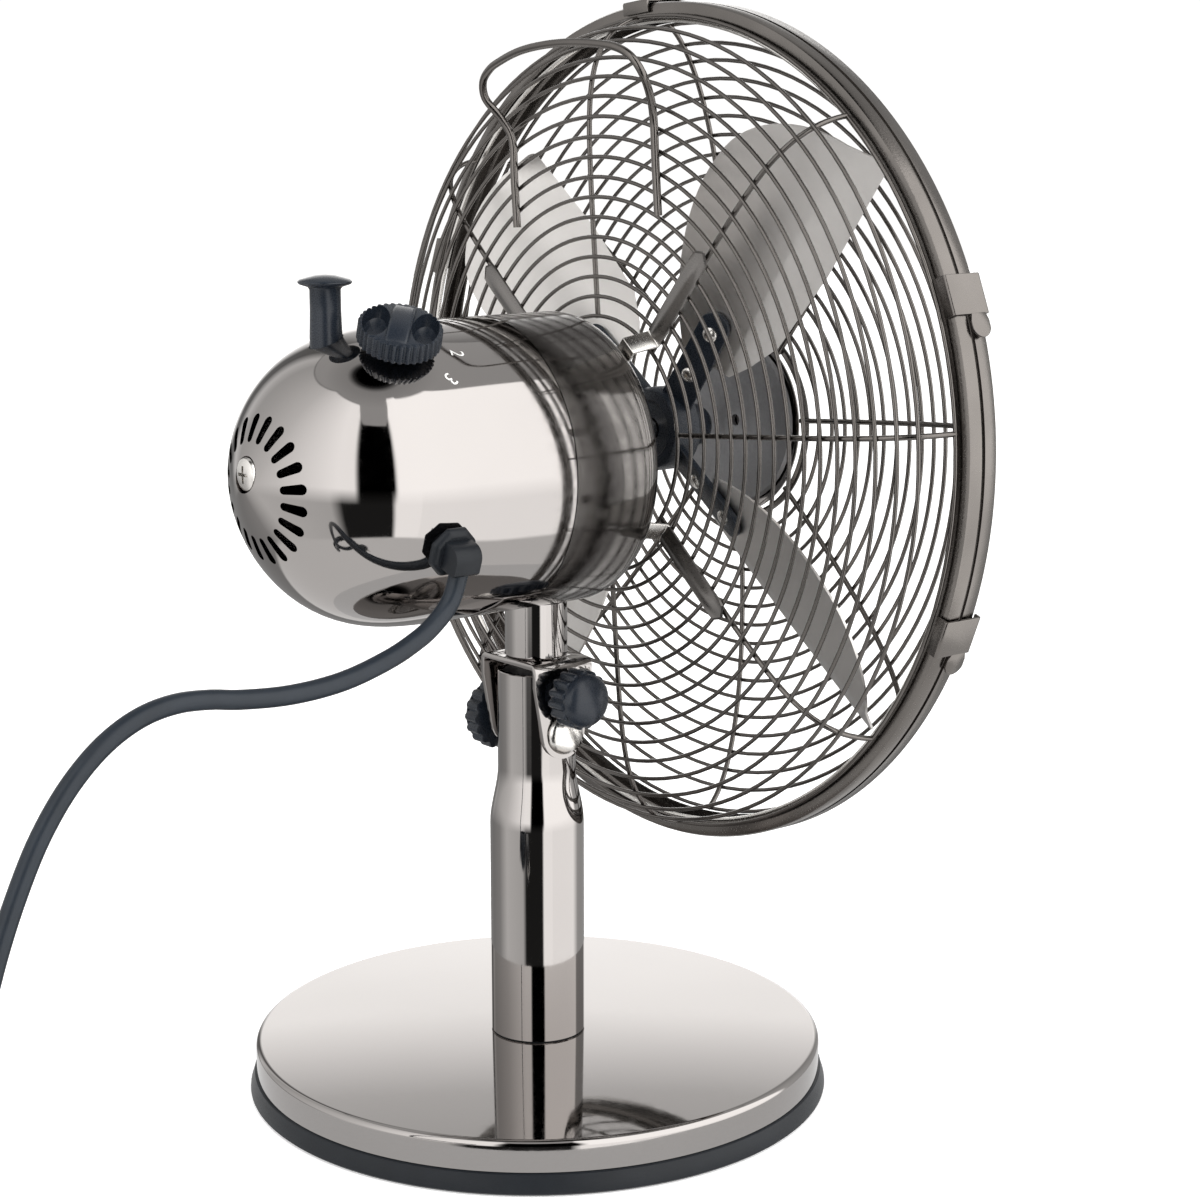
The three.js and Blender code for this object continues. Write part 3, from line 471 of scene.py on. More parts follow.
def coil_line():
    """Turns wound upwards in two columns, in pairs beside each other."""
    places = [(3.65, 0), (-3.65, 0), (-3.65, 1), (3.65, 1), (3.65, 2), (-3.65, 2), (3.65, 2)]
    line = []
    per_turn = 40
    count = int(COIL_TURNS * per_turn)
    start = COIL_RADIUS + COIL_HALF_WIDTH + CORD_RADIUS + GAP
    for i in range(1, count + 1):
        turns = i / per_turn
        index = int(turns)
        share = turns - index
        ease = eased(max(0, (share - 0.55) / 0.45))
        a = places[index]
        b = places[min(index + 1, len(places) - 1)]
        radius = COIL_RADIUS + a[0] + (b[0] - a[0]) * ease
        layer = a[1] + (b[1] - a[1]) * ease
        if turns < 0.5:
            radius = start + (radius - start) * eased(turns / 0.5)
        z = 1.5 + CORD_RADIUS + PITCH * layer
        if turns < 0.2:
            z = ROUTE_END[2] + (z - ROUTE_END[2]) * turns / 0.2
        angle = TURN * turns
        line.append(Vector((COIL_X + radius * math.cos(angle), COIL_Y + radius * math.sin(angle), z)))
    return line


def make_cord():
    in_gland = [gland_point(0.9), gland_point(-2.5), gland_point(-6.5)]
    whole = smooth_line(in_gland + CORD_ROUTE, CORD_STEPS)
    cut_at = (len(in_gland) + CORD_JOIN) * CORD_STEPS
    first = whole[:cut_at + 1]
    turns = coil_line()
    last = turns[-1]
    tail_end = Vector((PLUG_X, PLUG_Y - 8, PLUG_Z))
    tail = smooth_line([last, Vector((PLUG_X, last.y - 12, last.z - 0.8)), tail_end], CORD_STEPS)[1:]
    second = whole[cut_at:] + turns + tail

    head_end = piece("cord_at_the_head", tube(first, CORD_RADIUS, 16), "cord_rubber", None)
    rest = piece("cord_to_the_plug", tube(second, CORD_RADIUS, 16), "cord_rubber", None,
                 ("cord_tube", "cord_coil"))
    return head_end, rest, first, second


def make_plug():
    """Moulded two-pin plug with a ribbed strain relief."""
    ribs = [(0, 0.2)]
    for i in range(9):
        y = -2.8 * i
        radius = 4.4 + 2.6 * i / 9
        ribs += [(radius, y), (radius + 0.1, y - 1.7), (radius - 0.8, y - 1.9), (radius - 0.8, y - 2.6)]
    ribs += [(7, -26), (0, -26)]
    place = (PLUG_X, PLUG_Y, PLUG_Z)
    side = [(-7, -25), (-11.5, -27.6), (-14.6, -32), (-16.6, -39), (-17.4, -48), (-17.4, -60)]
    outline = side + [(-x, y) for x, y in reversed(side)]
    body = plain_object("plug_body", moved(prism(outline, -11.8, 11.8), Matrix.Translation(place)))
    bevel(body, 3.2, 4, 30)
    finish_piece(body, "black_plastic", "base", ("plug",))
    relief = piece("plug_relief", lathe(ribs, 32, "Y", place), "black_plastic", "base")
    pin = [(0, -56), (2.4, -56), (2.4, -77.4), (1.9, -78.6), (0, -79)]
    pair = [lathe(pin, 24, "Y", (PLUG_X + side_x, PLUG_Y, PLUG_Z)) for side_x in (-9.5, 9.5)]
    pins = piece("plug_pins", joined(*pair), "bright_steel", "base")
    return [body, relief, pins]


def make_tie():
    """A flat band round the turns of the coil, with rounded corners."""
    low, high = 0.4, 24.2
    inner, outer = COIL_RADIUS - 8.4, COIL_RADIUS + 8.4
    rows = [arc(outer - 3, high - 3, 3, 0, 90, 5), arc(inner + 3, high - 3, 3, 90, 180, 5),
            arc(inner + 3, low + 3, 3, 180, 270, 5), arc(outer - 3, low + 3, 3, 270, 360, 5)]
    ring = [q for row in rows for q in row]
    inside = [((x - COIL_RADIUS) * 0.915 + COIL_RADIUS, (y - 12.3) * 0.935 + 12.3) for x, y in ring]
    count = len(ring)
    verts, faces = [], []
    for x in (-3.4, 3.4):
        verts += [(COIL_X + x, COIL_Y + a, b) for a, b in ring]
        verts += [(COIL_X + x, COIL_Y + a, b) for a, b in inside]
    for i in range(count):
        j = (i + 1) % count
        faces.append([i, j, 2 * count + j, 2 * count + i])
        faces.append([count + j, count + i, 3 * count + i, 3 * count + j])
        faces.append([j, i, count + i, count + j])
        faces.append([2 * count + i, 2 * count + j, 3 * count + j, 3 * count + i])
    return piece("coil_tie", (verts, faces), "black_plastic", "base", ("cord_tie",))


place_camera()
cord_head, cord_rest, head_line, rest_line = make_cord()
plug_pieces = make_plug()
coil_tie = make_tie()
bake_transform(cord_head)
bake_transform(cord_rest)


# ---- base and column ---------------------------------------------------------------------------

def make_base():
    inside = BASE_RADIUS - 1.2
    top_edge = arc(BASE_RADIUS - 2.4, BASE_TOP - 2.4, 2.4, 0, 90, 8)
    inner_edge = arc(inside - 1.6, BASE_TOP - 2.8, 1.6, 90, 0, 5)
    cover = [(5, BASE_TOP), (5, BASE_TOP - 1.2)] + inner_edge
    cover += [(inside, 8.3), (BASE_RADIUS, 8.3)] + top_edge
    piece("base_cover_pressed", lathe(cover, 192), "smoked_chrome", "base", ("base_cover",))
    foot = [(100, 0), (FOOT_RADIUS - 1, 0), (FOOT_RADIUS, 0.9), (FOOT_RADIUS - 0.1, 2),
            (FOOT_RADIUS - 1.1, 5.2), (BASE_RADIUS + 0.8, 7.6), (BASE_RADIUS + 0.2, 8),
            (BASE_RADIUS - 4, 8), (BASE_RADIUS - 4, 4.6), (14, 4.6), (14, 2.3), (100, 2.3)]
    piece("base_foot_moulded", lathe(foot, 160), "black_plastic", "base", ("base_foot",))
    mat = [(0, 0), (99.2, 0), (99.7, 0.5), (99.7, 1.6), (99.2, 2), (0, 2)]
    piece("base_mat_round", lathe(mat, 128), "foam_mat", "base", ("base_mat",))


def make_column():
    outer = [(COLUMN_RADIUS - 0.4, 20.7), (COLUMN_RADIUS, 21.1), (COLUMN_RADIUS, 108)]
    for i in range(1, 12):
        share = i / 12
        radius = COLUMN_RADIUS + (NECKED_RADIUS - COLUMN_RADIUS) * eased(share)
        outer.append((radius, 108 + 23.5 * share))
    outer += [(NECKED_RADIUS, 131.5), (NECKED_RADIUS, COLUMN_TOP - 0.3), (NECKED_RADIUS - 0.3, COLUMN_TOP)]
    inner = [(radius - 1.5, height) for radius, height in reversed(outer)]
    tube_shape = plain_object("column_tube", lathe(outer + inner, 96))
    half = CLAMP_BOLT_RADIUS + 0.4
    swing = TILT_LIMIT + math.asin(half / CLAMP_RISE)
    side = []
    for radius, start in ((CLAMP_RISE + half, swing), (CLAMP_RISE - half, -swing)):
        for i in range(15):
            a = start * (1 - 2 * i / 14)
            side.append((radius * math.sin(a), PIVOT_Z + radius * math.cos(a)))
    slots = moved(prism(side, -30, 30), ALONG_X)
    cut(tube_shape, slots)
    cut(tube_shape, rod(3.3, -30, 30, 24, "X", (0, 0, PIVOT_Z)))
    finish_piece(tube_shape, "smoked_chrome", "base", ("column",), 30)
    cap_radius = NECKED_RADIUS - 1.8
    cap = [(0, 168), (cap_radius, 168), (cap_radius, 170.2), (cap_radius - 0.6, 170.8), (0, 170.9)]
    piece("column_cap_round", lathe(cap, 64), "black_plastic", "base", ("column_cap",))
    # Dark line of the seal under the column.
    seal = [(15, 20.45), (COLUMN_RADIUS - 0.5, 20.45), (COLUMN_RADIUS - 0.5, 20.68), (15, 20.68)]
    piece("column_seal", lathe(seal, 96), "black_plastic", "base")


# ---- tilt head ---------------------------------------------------------------------------------

def make_yoke():
    bend = 3
    outer = [(-EAR_OUTSIDE, PIVOT_Z - 12)] + arc(-EAR_OUTSIDE + bend, YOKE_TOP - bend, bend, 180, 90, 8)
    outer += arc(EAR_OUTSIDE - bend, YOKE_TOP - bend, bend, 90, 0, 8) + [(EAR_OUTSIDE, PIVOT_Z - 12)]
    inner = [(EAR_INSIDE, PIVOT_Z - 12)] + arc(EAR_OUTSIDE - bend, YOKE_TOP - bend, bend - 2, 0, 90, 6)
    inner += arc(-EAR_OUTSIDE + bend, YOKE_TOP - bend, bend - 2, 90, 180, 6) + [(-EAR_INSIDE, PIVOT_Z - 12)]
    strip = moved(prism(outer + inner, -14, 14), ALONG_Y)
    yoke = plain_object("yoke_bent", strip)
    end = 10.2
    side = [(-14, YOKE_TOP + 1), (-14, YOKE_TOP - 9)] + arc(0, PIVOT_Z, end, 191, 349, 16)
    side += [(14, YOKE_TOP - 9), (14, YOKE_TOP + 1)]
    ears = moved(prism(side, -40, 40), ALONG_X)
    cut(yoke, ears, "INTERSECT")
    cut(yoke, rod(3.3, -30, 30, 24, "X", (0, 0, PIVOT_Z)))
    cut(yoke, rod(2.8, -30, 30, 24, "X", (0, 0, CLAMP_Z)))
    cut(yoke, rod(5.3, YOKE_TOP - 4, YOKE_TOP + 1, 24))
    bevel(yoke, 0.3, 2, 50)
    finish_piece(yoke, "smoked_chrome", "tilt_head", ("tilt_yoke",), 30)


def make_bolts():
    head = [(0, -EAR_OUTSIDE - 4.2)]
    for i in range(1, 9):
        a = math.radians(90 * i / 8)
        head.append((8.2 * math.sin(a), -EAR_OUTSIDE - 0.9 - 3.3 * math.cos(a)))
    head += [(8.2, -EAR_OUTSIDE - GAP), (3, -EAR_OUTSIDE - GAP), (3, EAR_OUTSIDE + 8), (0, EAR_OUTSIDE + 8)]
    bolt = lathe(head, 48, "X", (0, 0, PIVOT_Z))
    piece("carriage_bolt", bolt, "bright_steel", "tilt_head", ("pivot_bolt",))
    clamp = [(0, -EAR_OUTSIDE - 8), (2.5, -EAR_OUTSIDE - 8), (2.5, EAR_OUTSIDE + GAP),
             (4.6, EAR_OUTSIDE + GAP), (4.5, EAR_OUTSIDE + 1.4), (3.6, EAR_OUTSIDE + 2.2),
             (0, EAR_OUTSIDE + 2.6)]
    bolt = lathe(clamp, 40, "X", (0, 0, CLAMP_Z))
    piece("clamp_bolt_turned", bolt, "bright_steel", "tilt_head", ("clamp_bolt",))
    post = [(0, YOKE_TOP - 3.2), (5, YOKE_TOP - 3.2), (5, YOKE_TOP + GAP),
            (NECK_RADIUS - 0.4, YOKE_TOP + GAP), (NECK_RADIUS, YOKE_TOP + 0.8), (NECK_RADIUS, 199),
            (9.8, 199), (9.8, 216), (0, 216)]
    piece("neck_post_turned", lathe(post, 80), "smoked_chrome", "tilt_head", ("neck_post",))


def knob_shape(radius, length, crown, teeth):
    """A boss, a skirt with straight flutes and a smooth domed crown."""
    boss = lathe([(0, 0), (6.6, 0), (7, 0.4), (7, 4.5), (0, 4.5)], 40)
    rows = [(0.9, 4.0), (0.98, 4.3), (1, 5.0), (1, length - 1.0), (0.985, length - 0.3), (0.95, length)]
    skirt = stacked(fluted(radius, 1.5, teeth, 8), rows)
    rim = radius - 1.2
    dome = [(0, length - 0.6), (rim, length - 0.6)]
    for i in range(12):
        angle = math.pi / 2 * i / 12
        dome.append((rim * math.cos(angle), length + crown * math.sin(angle)))
    dome.append((0, length + crown))
    return joined(boss, skirt, lathe(dome, 64))


def make_knobs():
    start = EAR_OUTSIDE + GAP
    near = Matrix.Translation((-start, 0, CLAMP_Z)) @ Matrix.Rotation(-math.pi / 2, 4, "Y")
    piece("clamp_knob_moulded", moved(knob_shape(11.8, 13, 6, 15), near), "blue_plastic", "clamp_knob",
          ("clamp_knob",))
    far = Matrix.Translation((start, 0, PIVOT_Z)) @ Matrix.Rotation(math.pi / 2, 4, "Y")
    piece("pivot_knob_moulded", moved(knob_shape(14.3, 11.5, 2.5, 16), far), "blue_plastic", "pivot_knob",
          ("pivot_knob",))


# ---- motor housing -----------------------------------------------------------------------------

def dome_shape(inset, segments):
    radius = HOUSING_RADIUS - inset
    tip = DOME_LENGTH - inset
    profile = [(0, HOUSING_SEAM + (0 if inset else 0.15)), (radius, HOUSING_SEAM + (0 if inset else 0.15))]
    profile.append((radius, HOUSING_SEAM + 6))
    profile.append((radius, DOME_START))
    for i in range(1, 30):
        s = 1 - (1 - i / 30) ** 1.9
        profile.append((radius * (1 - s ** 3.7) ** (1 / 1.3), DOME_START + s * tip))
    profile.append((0, DOME_START + tip))
    verts, faces = lathe(profile, segments, "Y")
    lifted = []
    for x, y, z in verts:
        out = math.hypot(x, z) / radius
        lifted.append((x, y, z + 1.7 * max(0, 1 - out * out) + HOUSING_Z))
    return lifted, faces


def vent_slots():
    slots = []
    outline = arc(18.9, 0, 1.5, 100, 260, 6) + arc(25.4, 0, 2, -80, 80, 6)
    turn = Matrix.Translation((0, 150, HOUSING_Z)) @ Matrix.Rotation(math.pi / 2, 4, "X")
    for i in range(VENT_COUNT):
        spin = Matrix.Rotation(VENT_TURN + TURN * i / VENT_COUNT, 4, "Z")
        slots.append(moved(prism(outline, 0, 40), turn @ spin))
    return joined(*slots)


DIAL_OUT = Vector((-math.sin(DIAL_LEAN), 0, math.cos(DIAL_LEAN)))
DIAL_FOOT = Vector((0, DIAL_Y, HOUSING_Z)) + DIAL_OUT * dome_radius(DIAL_Y)
ON_DIAL = (Matrix.Translation(DIAL_FOOT) @ Matrix.Rotation(-DIAL_LEAN, 4, "Y")
           @ Matrix.Rotation(-DIAL_SLOPE, 4, "X"))
DIAL_AXIS = ON_DIAL.to_3x3() @ Vector((0, 0, 1))
ON_GLAND = Matrix.Translation(GLAND_FOOT) @ Matrix.Rotation(math.pi / 2 - GLAND_ANGLE, 4, "Y")


def make_housing():
    shell = plain_object("rear_shell", dome_shape(0, 160))
    cut(shell, dome_shape(1.2, 96))
    cut(shell, rod(8, SCREW_SEAT - 4, SCREW_SEAT, 48, "Y", (0, 0, SCREW_Z)), "UNION")
    cut(shell, rod(6.7, SCREW_SEAT - 0.2, 150, 48, "Y", (0, 0, SCREW_Z)))
    cut(shell, vent_slots())
    cut(shell, rod(2.3, 115, 150, 24, "Y", (0, 0, SCREW_Z)))
    cut(shell, rod(6.3, 290, 330, 32, "Z", (0, PULL_Y, 0)))
    cut(shell, moved(rod(3.7, -12, 12, 24), ON_DIAL))
    cut(shell, moved(rod(6.6, -10, 12, 24), ON_GLAND))
    finish_piece(shell, "smoked_chrome", "motor_head", ("rear_housing",), 30)

    outer = [(0, -20), (46, -20), (49, -19.8)] + arc(47, -10, 10, -68, 0, 12)[1:]
    outer += [(HOUSING_RADIUS, -8), (HOUSING_RADIUS, HOUSING_SEAM - GAP), (0, HOUSING_SEAM - GAP)]
    front = plain_object("front_shell_painted_shade", lathe(outer, 160, "Y", (0, 0, HOUSING_Z)))
    inner = [(0, -18.8), (46, -18.8), (52, -16.5), (55.8, -10), (55.8, HOUSING_SEAM + 1),
             (0, HOUSING_SEAM + 1)]
    cut(front, lathe(inner, 96, "Y", (0, 0, HOUSING_Z)))
    cut(front, rod(12.5, -25, -10, 40, "Y", (0, 0, SHAFT_Z)))
    cut(front, rod(12.9, 190, 215, 48))
    # Painted shade: the front shell wears the darkened copy of the smoked chrome instead of its own slot's
    # surface.
    finish_piece(front, "smoked_chrome", "motor_head", ("front_housing",), 30, FRONT_SHELL_PAINTED_SHADE)

    screw = [(0, 77 - SCREW_SEAT), (1.9, 77 - SCREW_SEAT), (1.9, 0.1), (6.2, 0.1), (6.2, 2.1), (5.8, 2.9),
             (4.6, 3.5), (3, 3.8), (0, 3.9)]
    head = plain_object("screw_rear", lathe(screw, 48, "Y", (0, SCREW_SEAT, SCREW_Z)))
    cut(head, box((-3.2, 3.2), (SCREW_SEAT + 2.2, SCREW_SEAT + 5), (SCREW_Z - 0.6, SCREW_Z + 0.6)))
    cut(head, box((-0.6, 0.6), (SCREW_SEAT + 2.2, SCREW_SEAT + 5), (SCREW_Z - 3.2, SCREW_Z + 3.2)))
    finish_piece(head, "bright_steel", "motor_head", ("rear_screw",), 30)


def make_gland():
    flange = []
    outline = [(10 * math.cos(TURN * (i + 0.5) / 8), 10 * math.sin(TURN * (i + 0.5) / 8)) for i in range(8)]
    rows = [(1.0, 1.6), (1.0, 3.0), (0.92, 4.3), (0.8, 5.0)]
    verts = [(0, 0, 1.6)] + [(x * s, y * s, z) for s, z in rows for x, y in outline] + [(0, 0, 5.0)]
    for r in range(3):
        for i in range(8):
            j = (i + 1) % 8
            flange.append([1 + r * 8 + i, 1 + r * 8 + j, 9 + r * 8 + j, 9 + r * 8 + i])
    flange += [[0, 1 + (i + 1) % 8, 1 + i] for i in range(8)]
    flange += [[33, 25 + i, 25 + (i + 1) % 8] for i in range(8)]
    base = plain_object("gland_flange", moved((verts, flange), ON_GLAND))
    bevel(base, 0.5, 2, 20)
    finish_piece(base, "black_plastic", "motor_head", ("cord_gland",), 30)
    hood_side = [(-4.8, 4), (5.6, 4), (5.6, 8)] + arc(0.8, 8.6, 4.8, 0, 90, 6) + [(-3.8, 13.4), (-4.8, 12.6)]
    hood = plain_object("gland_hood", moved(prism(hood_side, -5.5, 5.5),
                                            ON_GLAND @ ALONG_Y))
    cut(hood, moved(rod(3.8, -12, 1.6, 32, "X", (0, 0, CORD_LIFT)), ON_GLAND))
    bevel(hood, 1.1, 3, 40)
    finish_piece(hood, "black_plastic", "motor_head", (), 30)
    neck = rod(6.2, -7, 2, 32)
    piece("gland_neck", moved(neck, ON_GLAND), "black_plastic", "motor_head")


# ---- controls ----------------------------------------------------------------------------------

def make_dial():
    rows = [(0.9, 2.4), (0.99, 2.7), (1, 3.4), (1, 9.2), (0.985, 9.7), (0.93, 10.0)]
    skirt = stacked(fluted(15.4, 1.0, 36, 5), rows)
    spin = ON_DIAL @ Matrix.Rotation(DIAL_REST, 4, "Z")
    body = plain_object("dial_body", moved(skirt, spin))
    pocket = [(0, 4), (5.6, 4.3), (8.2, 5.6), (9.6, 8.4), (10, 13), (0, 13)]
    for side in (1, -1):
        beside_grip = Matrix.Translation((0, 9 * side, 0)) @ Matrix.Diagonal((1.08, 0.5, 1, 1))
        cut(body, moved(moved(lathe(pocket, 40), beside_grip), spin))
    finish_piece(body, "blue_plastic", "speed_dial", ("speed_dial",), 30)
    arch = [(-13.4, 6)]
    for i in range(17):
        arch.append((-13.4 + 26.8 * i / 16, 9.8 + 3 * math.sin(math.pi * i / 16) ** 0.8))
    arch.append((13.4, 6))
    grip = plain_object("dial_grip", moved(prism(arch, -4.2, 4.2), spin @ ALONG_Y))
    bevel(grip, 1.3, 4, 30)
    finish_piece(grip, "blue_plastic", "speed_dial", (), 30)
    spindle = rod(3, -8, 3, 32)
    piece("dial_spindle", moved(spindle, spin), "blue_plastic", "speed_dial")


def on_skin(u, v, lift):
    """A point on the housing's skin, u along X and v along Y of the dial's own frame."""
    start = ON_DIAL @ Vector((u, v, 0))
    low, high = -30.0, 10.0
    for _ in range(40):
        middle = (low + high) / 2
        q = start + DIAL_AXIS * middle
        if math.hypot(q.x, q.z - HOUSING_Z) < dome_radius(q.y) + lift:
            low = middle
        else:
            high = middle
    return start + DIAL_AXIS * low


def make_numerals():
    """Positions 0 to 3 printed round the dial."""
    reach = 22
    for index, bearing in enumerate((-60, -20, 20, 60)):
        text = bpy.data.curves.new("numeral", "FONT")
        text.body = str(index)
        text.size = 7.5
        text.align_x = "CENTER"
        text.align_y = "CENTER"
        text.resolution_u = 6
        letter = bpy.data.objects.new("numeral", text)
        scene.collection.objects.link(letter)
        bpy.context.view_layer.update()
        evaluated = letter.evaluated_get(bpy.context.evaluated_depsgraph_get())
        mesh = bpy.data.meshes.new_from_object(evaluated)
        bpy.data.objects.remove(letter, do_unlink=True)
        fine = bmesh.new()
        fine.from_mesh(mesh)
        bmesh.ops.triangulate(fine, faces=fine.faces)
        bmesh.ops.subdivide_edges(fine, edges=fine.edges, cuts=2, use_grid_fill=True)
        direction = math.radians(-90 - bearing)
        turn = direction - math.pi / 2
        for vert in fine.verts:
            u = vert.co.x * math.cos(turn) - vert.co.y * math.sin(turn) + reach * math.cos(direction)
            v = vert.co.x * math.sin(turn) + vert.co.y * math.cos(turn) + reach * math.sin(direction)
            vert.co = on_skin(u, v, 0.06) * MM
        bmesh.ops.recalc_face_normals(fine, faces=fine.faces)
        fine.to_mesh(mesh)
        fine.free()
        thing = bpy.data.objects.new(f"numeral_{index}", mesh)
        scene.collection.objects.link(thing)
        finish_piece(thing, "bright_steel", "motor_head", (), 60, PRINT)


def make_pull_knob():
    profile = [(0, 286), (3.4, 286), (3.4, 300), (6, 300.4), (6, 308), (5.7, 318), (5.7, 325.4), (6.3, 326.3),
               (9.4, 327.3), (9.9, 327.9), (9.9, 328.3), (9.2, 328.9), (4, 330.3), (0, 330.7)]
    piece("pull_knob", lathe(profile, 64, "Z", (0, PULL_Y, 0)), "blue_plastic", "oscillation_knob",
          ("oscillation_knob",))


# ---- rotor -------------------------------------------------------------------------------------

def blade_matrix(index):
    spin = BLADE_TURN + index * math.pi / 2
    return (Matrix.Translation((0, BLADE_Y, SHAFT_Z)) @ Matrix.Rotation(-spin, 4, "Y")
            @ Matrix.Rotation(-math.pi / 2, 4, "X") @ Matrix.Rotation(BLADE_PITCH, 4, "X"))


def bezier(a, b, c, d, steps):
    line = []
    for i in range(1, steps + 1):
        t = i / steps
        line.append(tuple((1 - t) ** 3 * a[k] + 3 * (1 - t) ** 2 * t * b[k]
                          + 3 * (1 - t) * t * t * c[k] + t ** 3 * d[k] for k in range(2)))
    return line


CREASE = -12.0


def blade_height(x, y):
    """The pressed sheet: flat by the rivets, a soft camber outwards and a fold along the crease."""
    if y < CREASE:
        return (y - CREASE) * 0.32
    return 0.0016 * max(0, x - 62) ** 1.2 * max(0, y - CREASE) * 0.22


def scored(sheet, place, normal):
    """Splits the sheet along a plane, so that it can bend there."""
    everything = sheet.verts[:] + sheet.edges[:] + sheet.faces[:]
    bmesh.ops.bisect_plane(sheet, geom=everything, plane_co=place, plane_no=normal)


def blade_shape():
    root, tip = 38, 150
    edge = [(root, CREASE - 2), (46, -19), (60, -25), (98, -28.3), (tip - 2.6, -28.5)]
    edge += bezier((tip - 2.6, -28.5), (tip - 0.8, -28.4), (tip + 0.4, -27.6), (tip + 0.8, -25.4), 5)
    edge += [(tip + 0.2, CREASE)]
    edge += bezier((tip + 0.2, CREASE), (tip + 0.4, 6), (140, 25), (122, 29.5), 14)
    edge += bezier((122, 29.5), (92, 37), (58, 24), (root, 9), 16)
    sheet = bmesh.new()
    corners = [sheet.verts.new((x, y, 0)) for x, y in edge]
    sheet.faces.new(corners)
    for k in range(1, 16):
        scored(sheet, (root + (tip - root) * k / 16, 0, 0), (1, 0, 0))
    for y in (-24, -18, CREASE - 0.6, CREASE + 0.6, -5, 3, 11, 19, 26):
        scored(sheet, (0, y, 0), (0, 1, 0))
    for vert in sheet.verts:
        vert.co.z = blade_height(vert.co.x, vert.co.y)
    sheet.verts.ensure_lookup_table()
    verts = [tuple(v.co) for v in sheet.verts]
    faces = [[v.index for v in face.verts] for face in sheet.faces]
    sheet.free()
    return verts, faces


def make_blades():
    shape = blade_shape()
    for index in range(4):
        lift = blade_matrix(index) @ Matrix.Translation((0, 0, 0.2))
        blade = plain_object(f"blade_sheet_{index + 1}", moved(shape, lift))
        thick = blade.modifiers.new("sheet", "SOLIDIFY")
        thick.thickness = 0.9 * MM
        thick.offset = 0
        settle(blade)
        finish_piece(blade, "blade_metal", "fan_rotor", (f"blade_{index + 1}",), 30)


def make_spider():
    on_shaft = (0, 0, SHAFT_Z)
    hub = [(4.6, BLADE_Y - 6), (15.8, BLADE_Y - 6), (17, BLADE_Y - 4.6), (17, BLADE_Y + 6),
           (16, BLADE_Y + 7.6), (12, BLADE_Y + 8), (10.5, BLADE_Y + 6.5), (4.6, BLADE_Y + 6.5)]
    piece("spider_hub", lathe(hub, 64, "Y", on_shaft), "blue_plastic", "fan_rotor", ("blade_spider",))
    outline = [(10, -7)] + [(54, -6.6)] + arc(54, 0, 6.6, -90, 90, 12)[1:] + [(10, 7)]
    for index in range(4):
        arm = plain_object(f"spider_arm_{index + 1}", moved(prism(outline, 1, 3.4), blade_matrix(index)))
        bevel(arm, 0.5, 2, 40)
        finish_piece(arm, "blue_plastic", "fan_rotor", (), 30)
        rivets = []
        for x in (30, 51):
            head = [(0, 3.3), (3.2, 3.3), (3.1, 4.1), (2.4, 4.8), (1.2, 5.1), (0, 5.2)]
            rivets.append(moved(lathe(head, 24), blade_matrix(index) @ Matrix.Translation((x, 0, 0))))
            tail = [(0, -0.9), (2.8, -0.9), (2.6, -0.2), (0, -0.2)]
            rivets.append(moved(lathe(tail, 24), blade_matrix(index) @ Matrix.Translation((x + 8.5, 0, 0))))
        piece(f"rivets_{index + 1}", joined(*rivets), "bright_steel", "fan_rotor")
    nut = [(0, -87.5), (4, -87.3), (7, -85.9), (8.6, -83.4), (9, -80), (9, -76.6), (8.6, -76),
           (2.9, -76), (2.9, -86.3), (0, -86.3)]
    piece("hub_nut_turned", lathe(nut, 48, "Y", on_shaft), "blue_plastic", "fan_rotor", ("hub_nut",))
    shaft = [(0, -86), (2.6, -86), (2.6, -76), (4, -76), (4, 50), (0, 50)]
    piece("shaft_turned", lathe(shaft, 32, "Y", on_shaft), "bright_steel", "fan_rotor", ("motor_shaft",))


# ---- cage --------------------------------------------------------------------------------------

def rear_bowl(radius):
    return -67 + 34 * math.sqrt(max(0, 1 - (radius / CAGE_RADIUS) ** 10))


def front_bowl(radius):
    return -74 - 34 * math.sqrt(max(0, 1 - (radius / CAGE_RADIUS) ** 3))


def ring_radii(bowl, start, end, spacing):
    radii = [start]
    walked = 0
    step = 0.25
    r = start
    while r + step < end:
        walked += math.hypot(step, bowl(r + step) - bowl(r))
        r += step
        if walked >= spacing:
            radii.append(r)
            walked = 0
    return radii


def make_grille(name, bowl, start, end, spacing, lift, hides):
    wires = []
    radii = ring_radii(bowl, start, end - spacing * 0.4, spacing) + [end]
    for radius in radii:
        wires.append(tube(circle(radius, bowl(radius), 120), 0.82, 8, True))
    for i in range(8):
        angle = CAGE_TURN + i * math.pi / 4
        line = []
        for k in range(33):
            share = k / 32
            r = start - 1 + (end - start + 0.8) * (1 - (1 - share) ** 2)
            line.append((r * math.cos(angle), bowl(r) + lift, SHAFT_Z + r * math.sin(angle)))
        wires.append(tube(line, 1.05, 8))
    return piece(name, joined(*wires), "dark_wire", "motor_head", hides, 0, 60)


def make_rims():
    inner = 161.6
    outer = RIM_RADIUS
    on_shaft = (0, 0, SHAFT_Z)
    rear = [(inner, -66.1), (inner, -65.3), (inner + 0.8, -65), (outer - 2, -65), (outer - 0.6, -65.4),
            (outer, -66.4), (outer, -71), (outer - 1, -71), (outer - 1, -67), (outer - 2.2, -66.1)]
    piece("rear_rim_rolled", lathe(rear, 256, "Y", on_shaft), "rim_metal", "motor_head", ("rear_rim",))
    front = [(inner, -78.4), (inner, -79.2), (inner + 0.8, -79.5), (outer - 2, -79.5), (outer - 0.6, -79.1),
             (outer, -78.1), (outer, -72.7), (outer - 1, -72.7), (outer - 1, -77.5), (outer - 2.2, -78.4)]
    piece("front_rim_rolled", lathe(front, 256, "Y", on_shaft), "rim_metal", "motor_head", ("front_rim",))
    bead = tube(circle(inner - 0.1, -65.6, 160), 0.9, 8, True)
    piece("rim_bead", bead, "bright_steel", "motor_head")


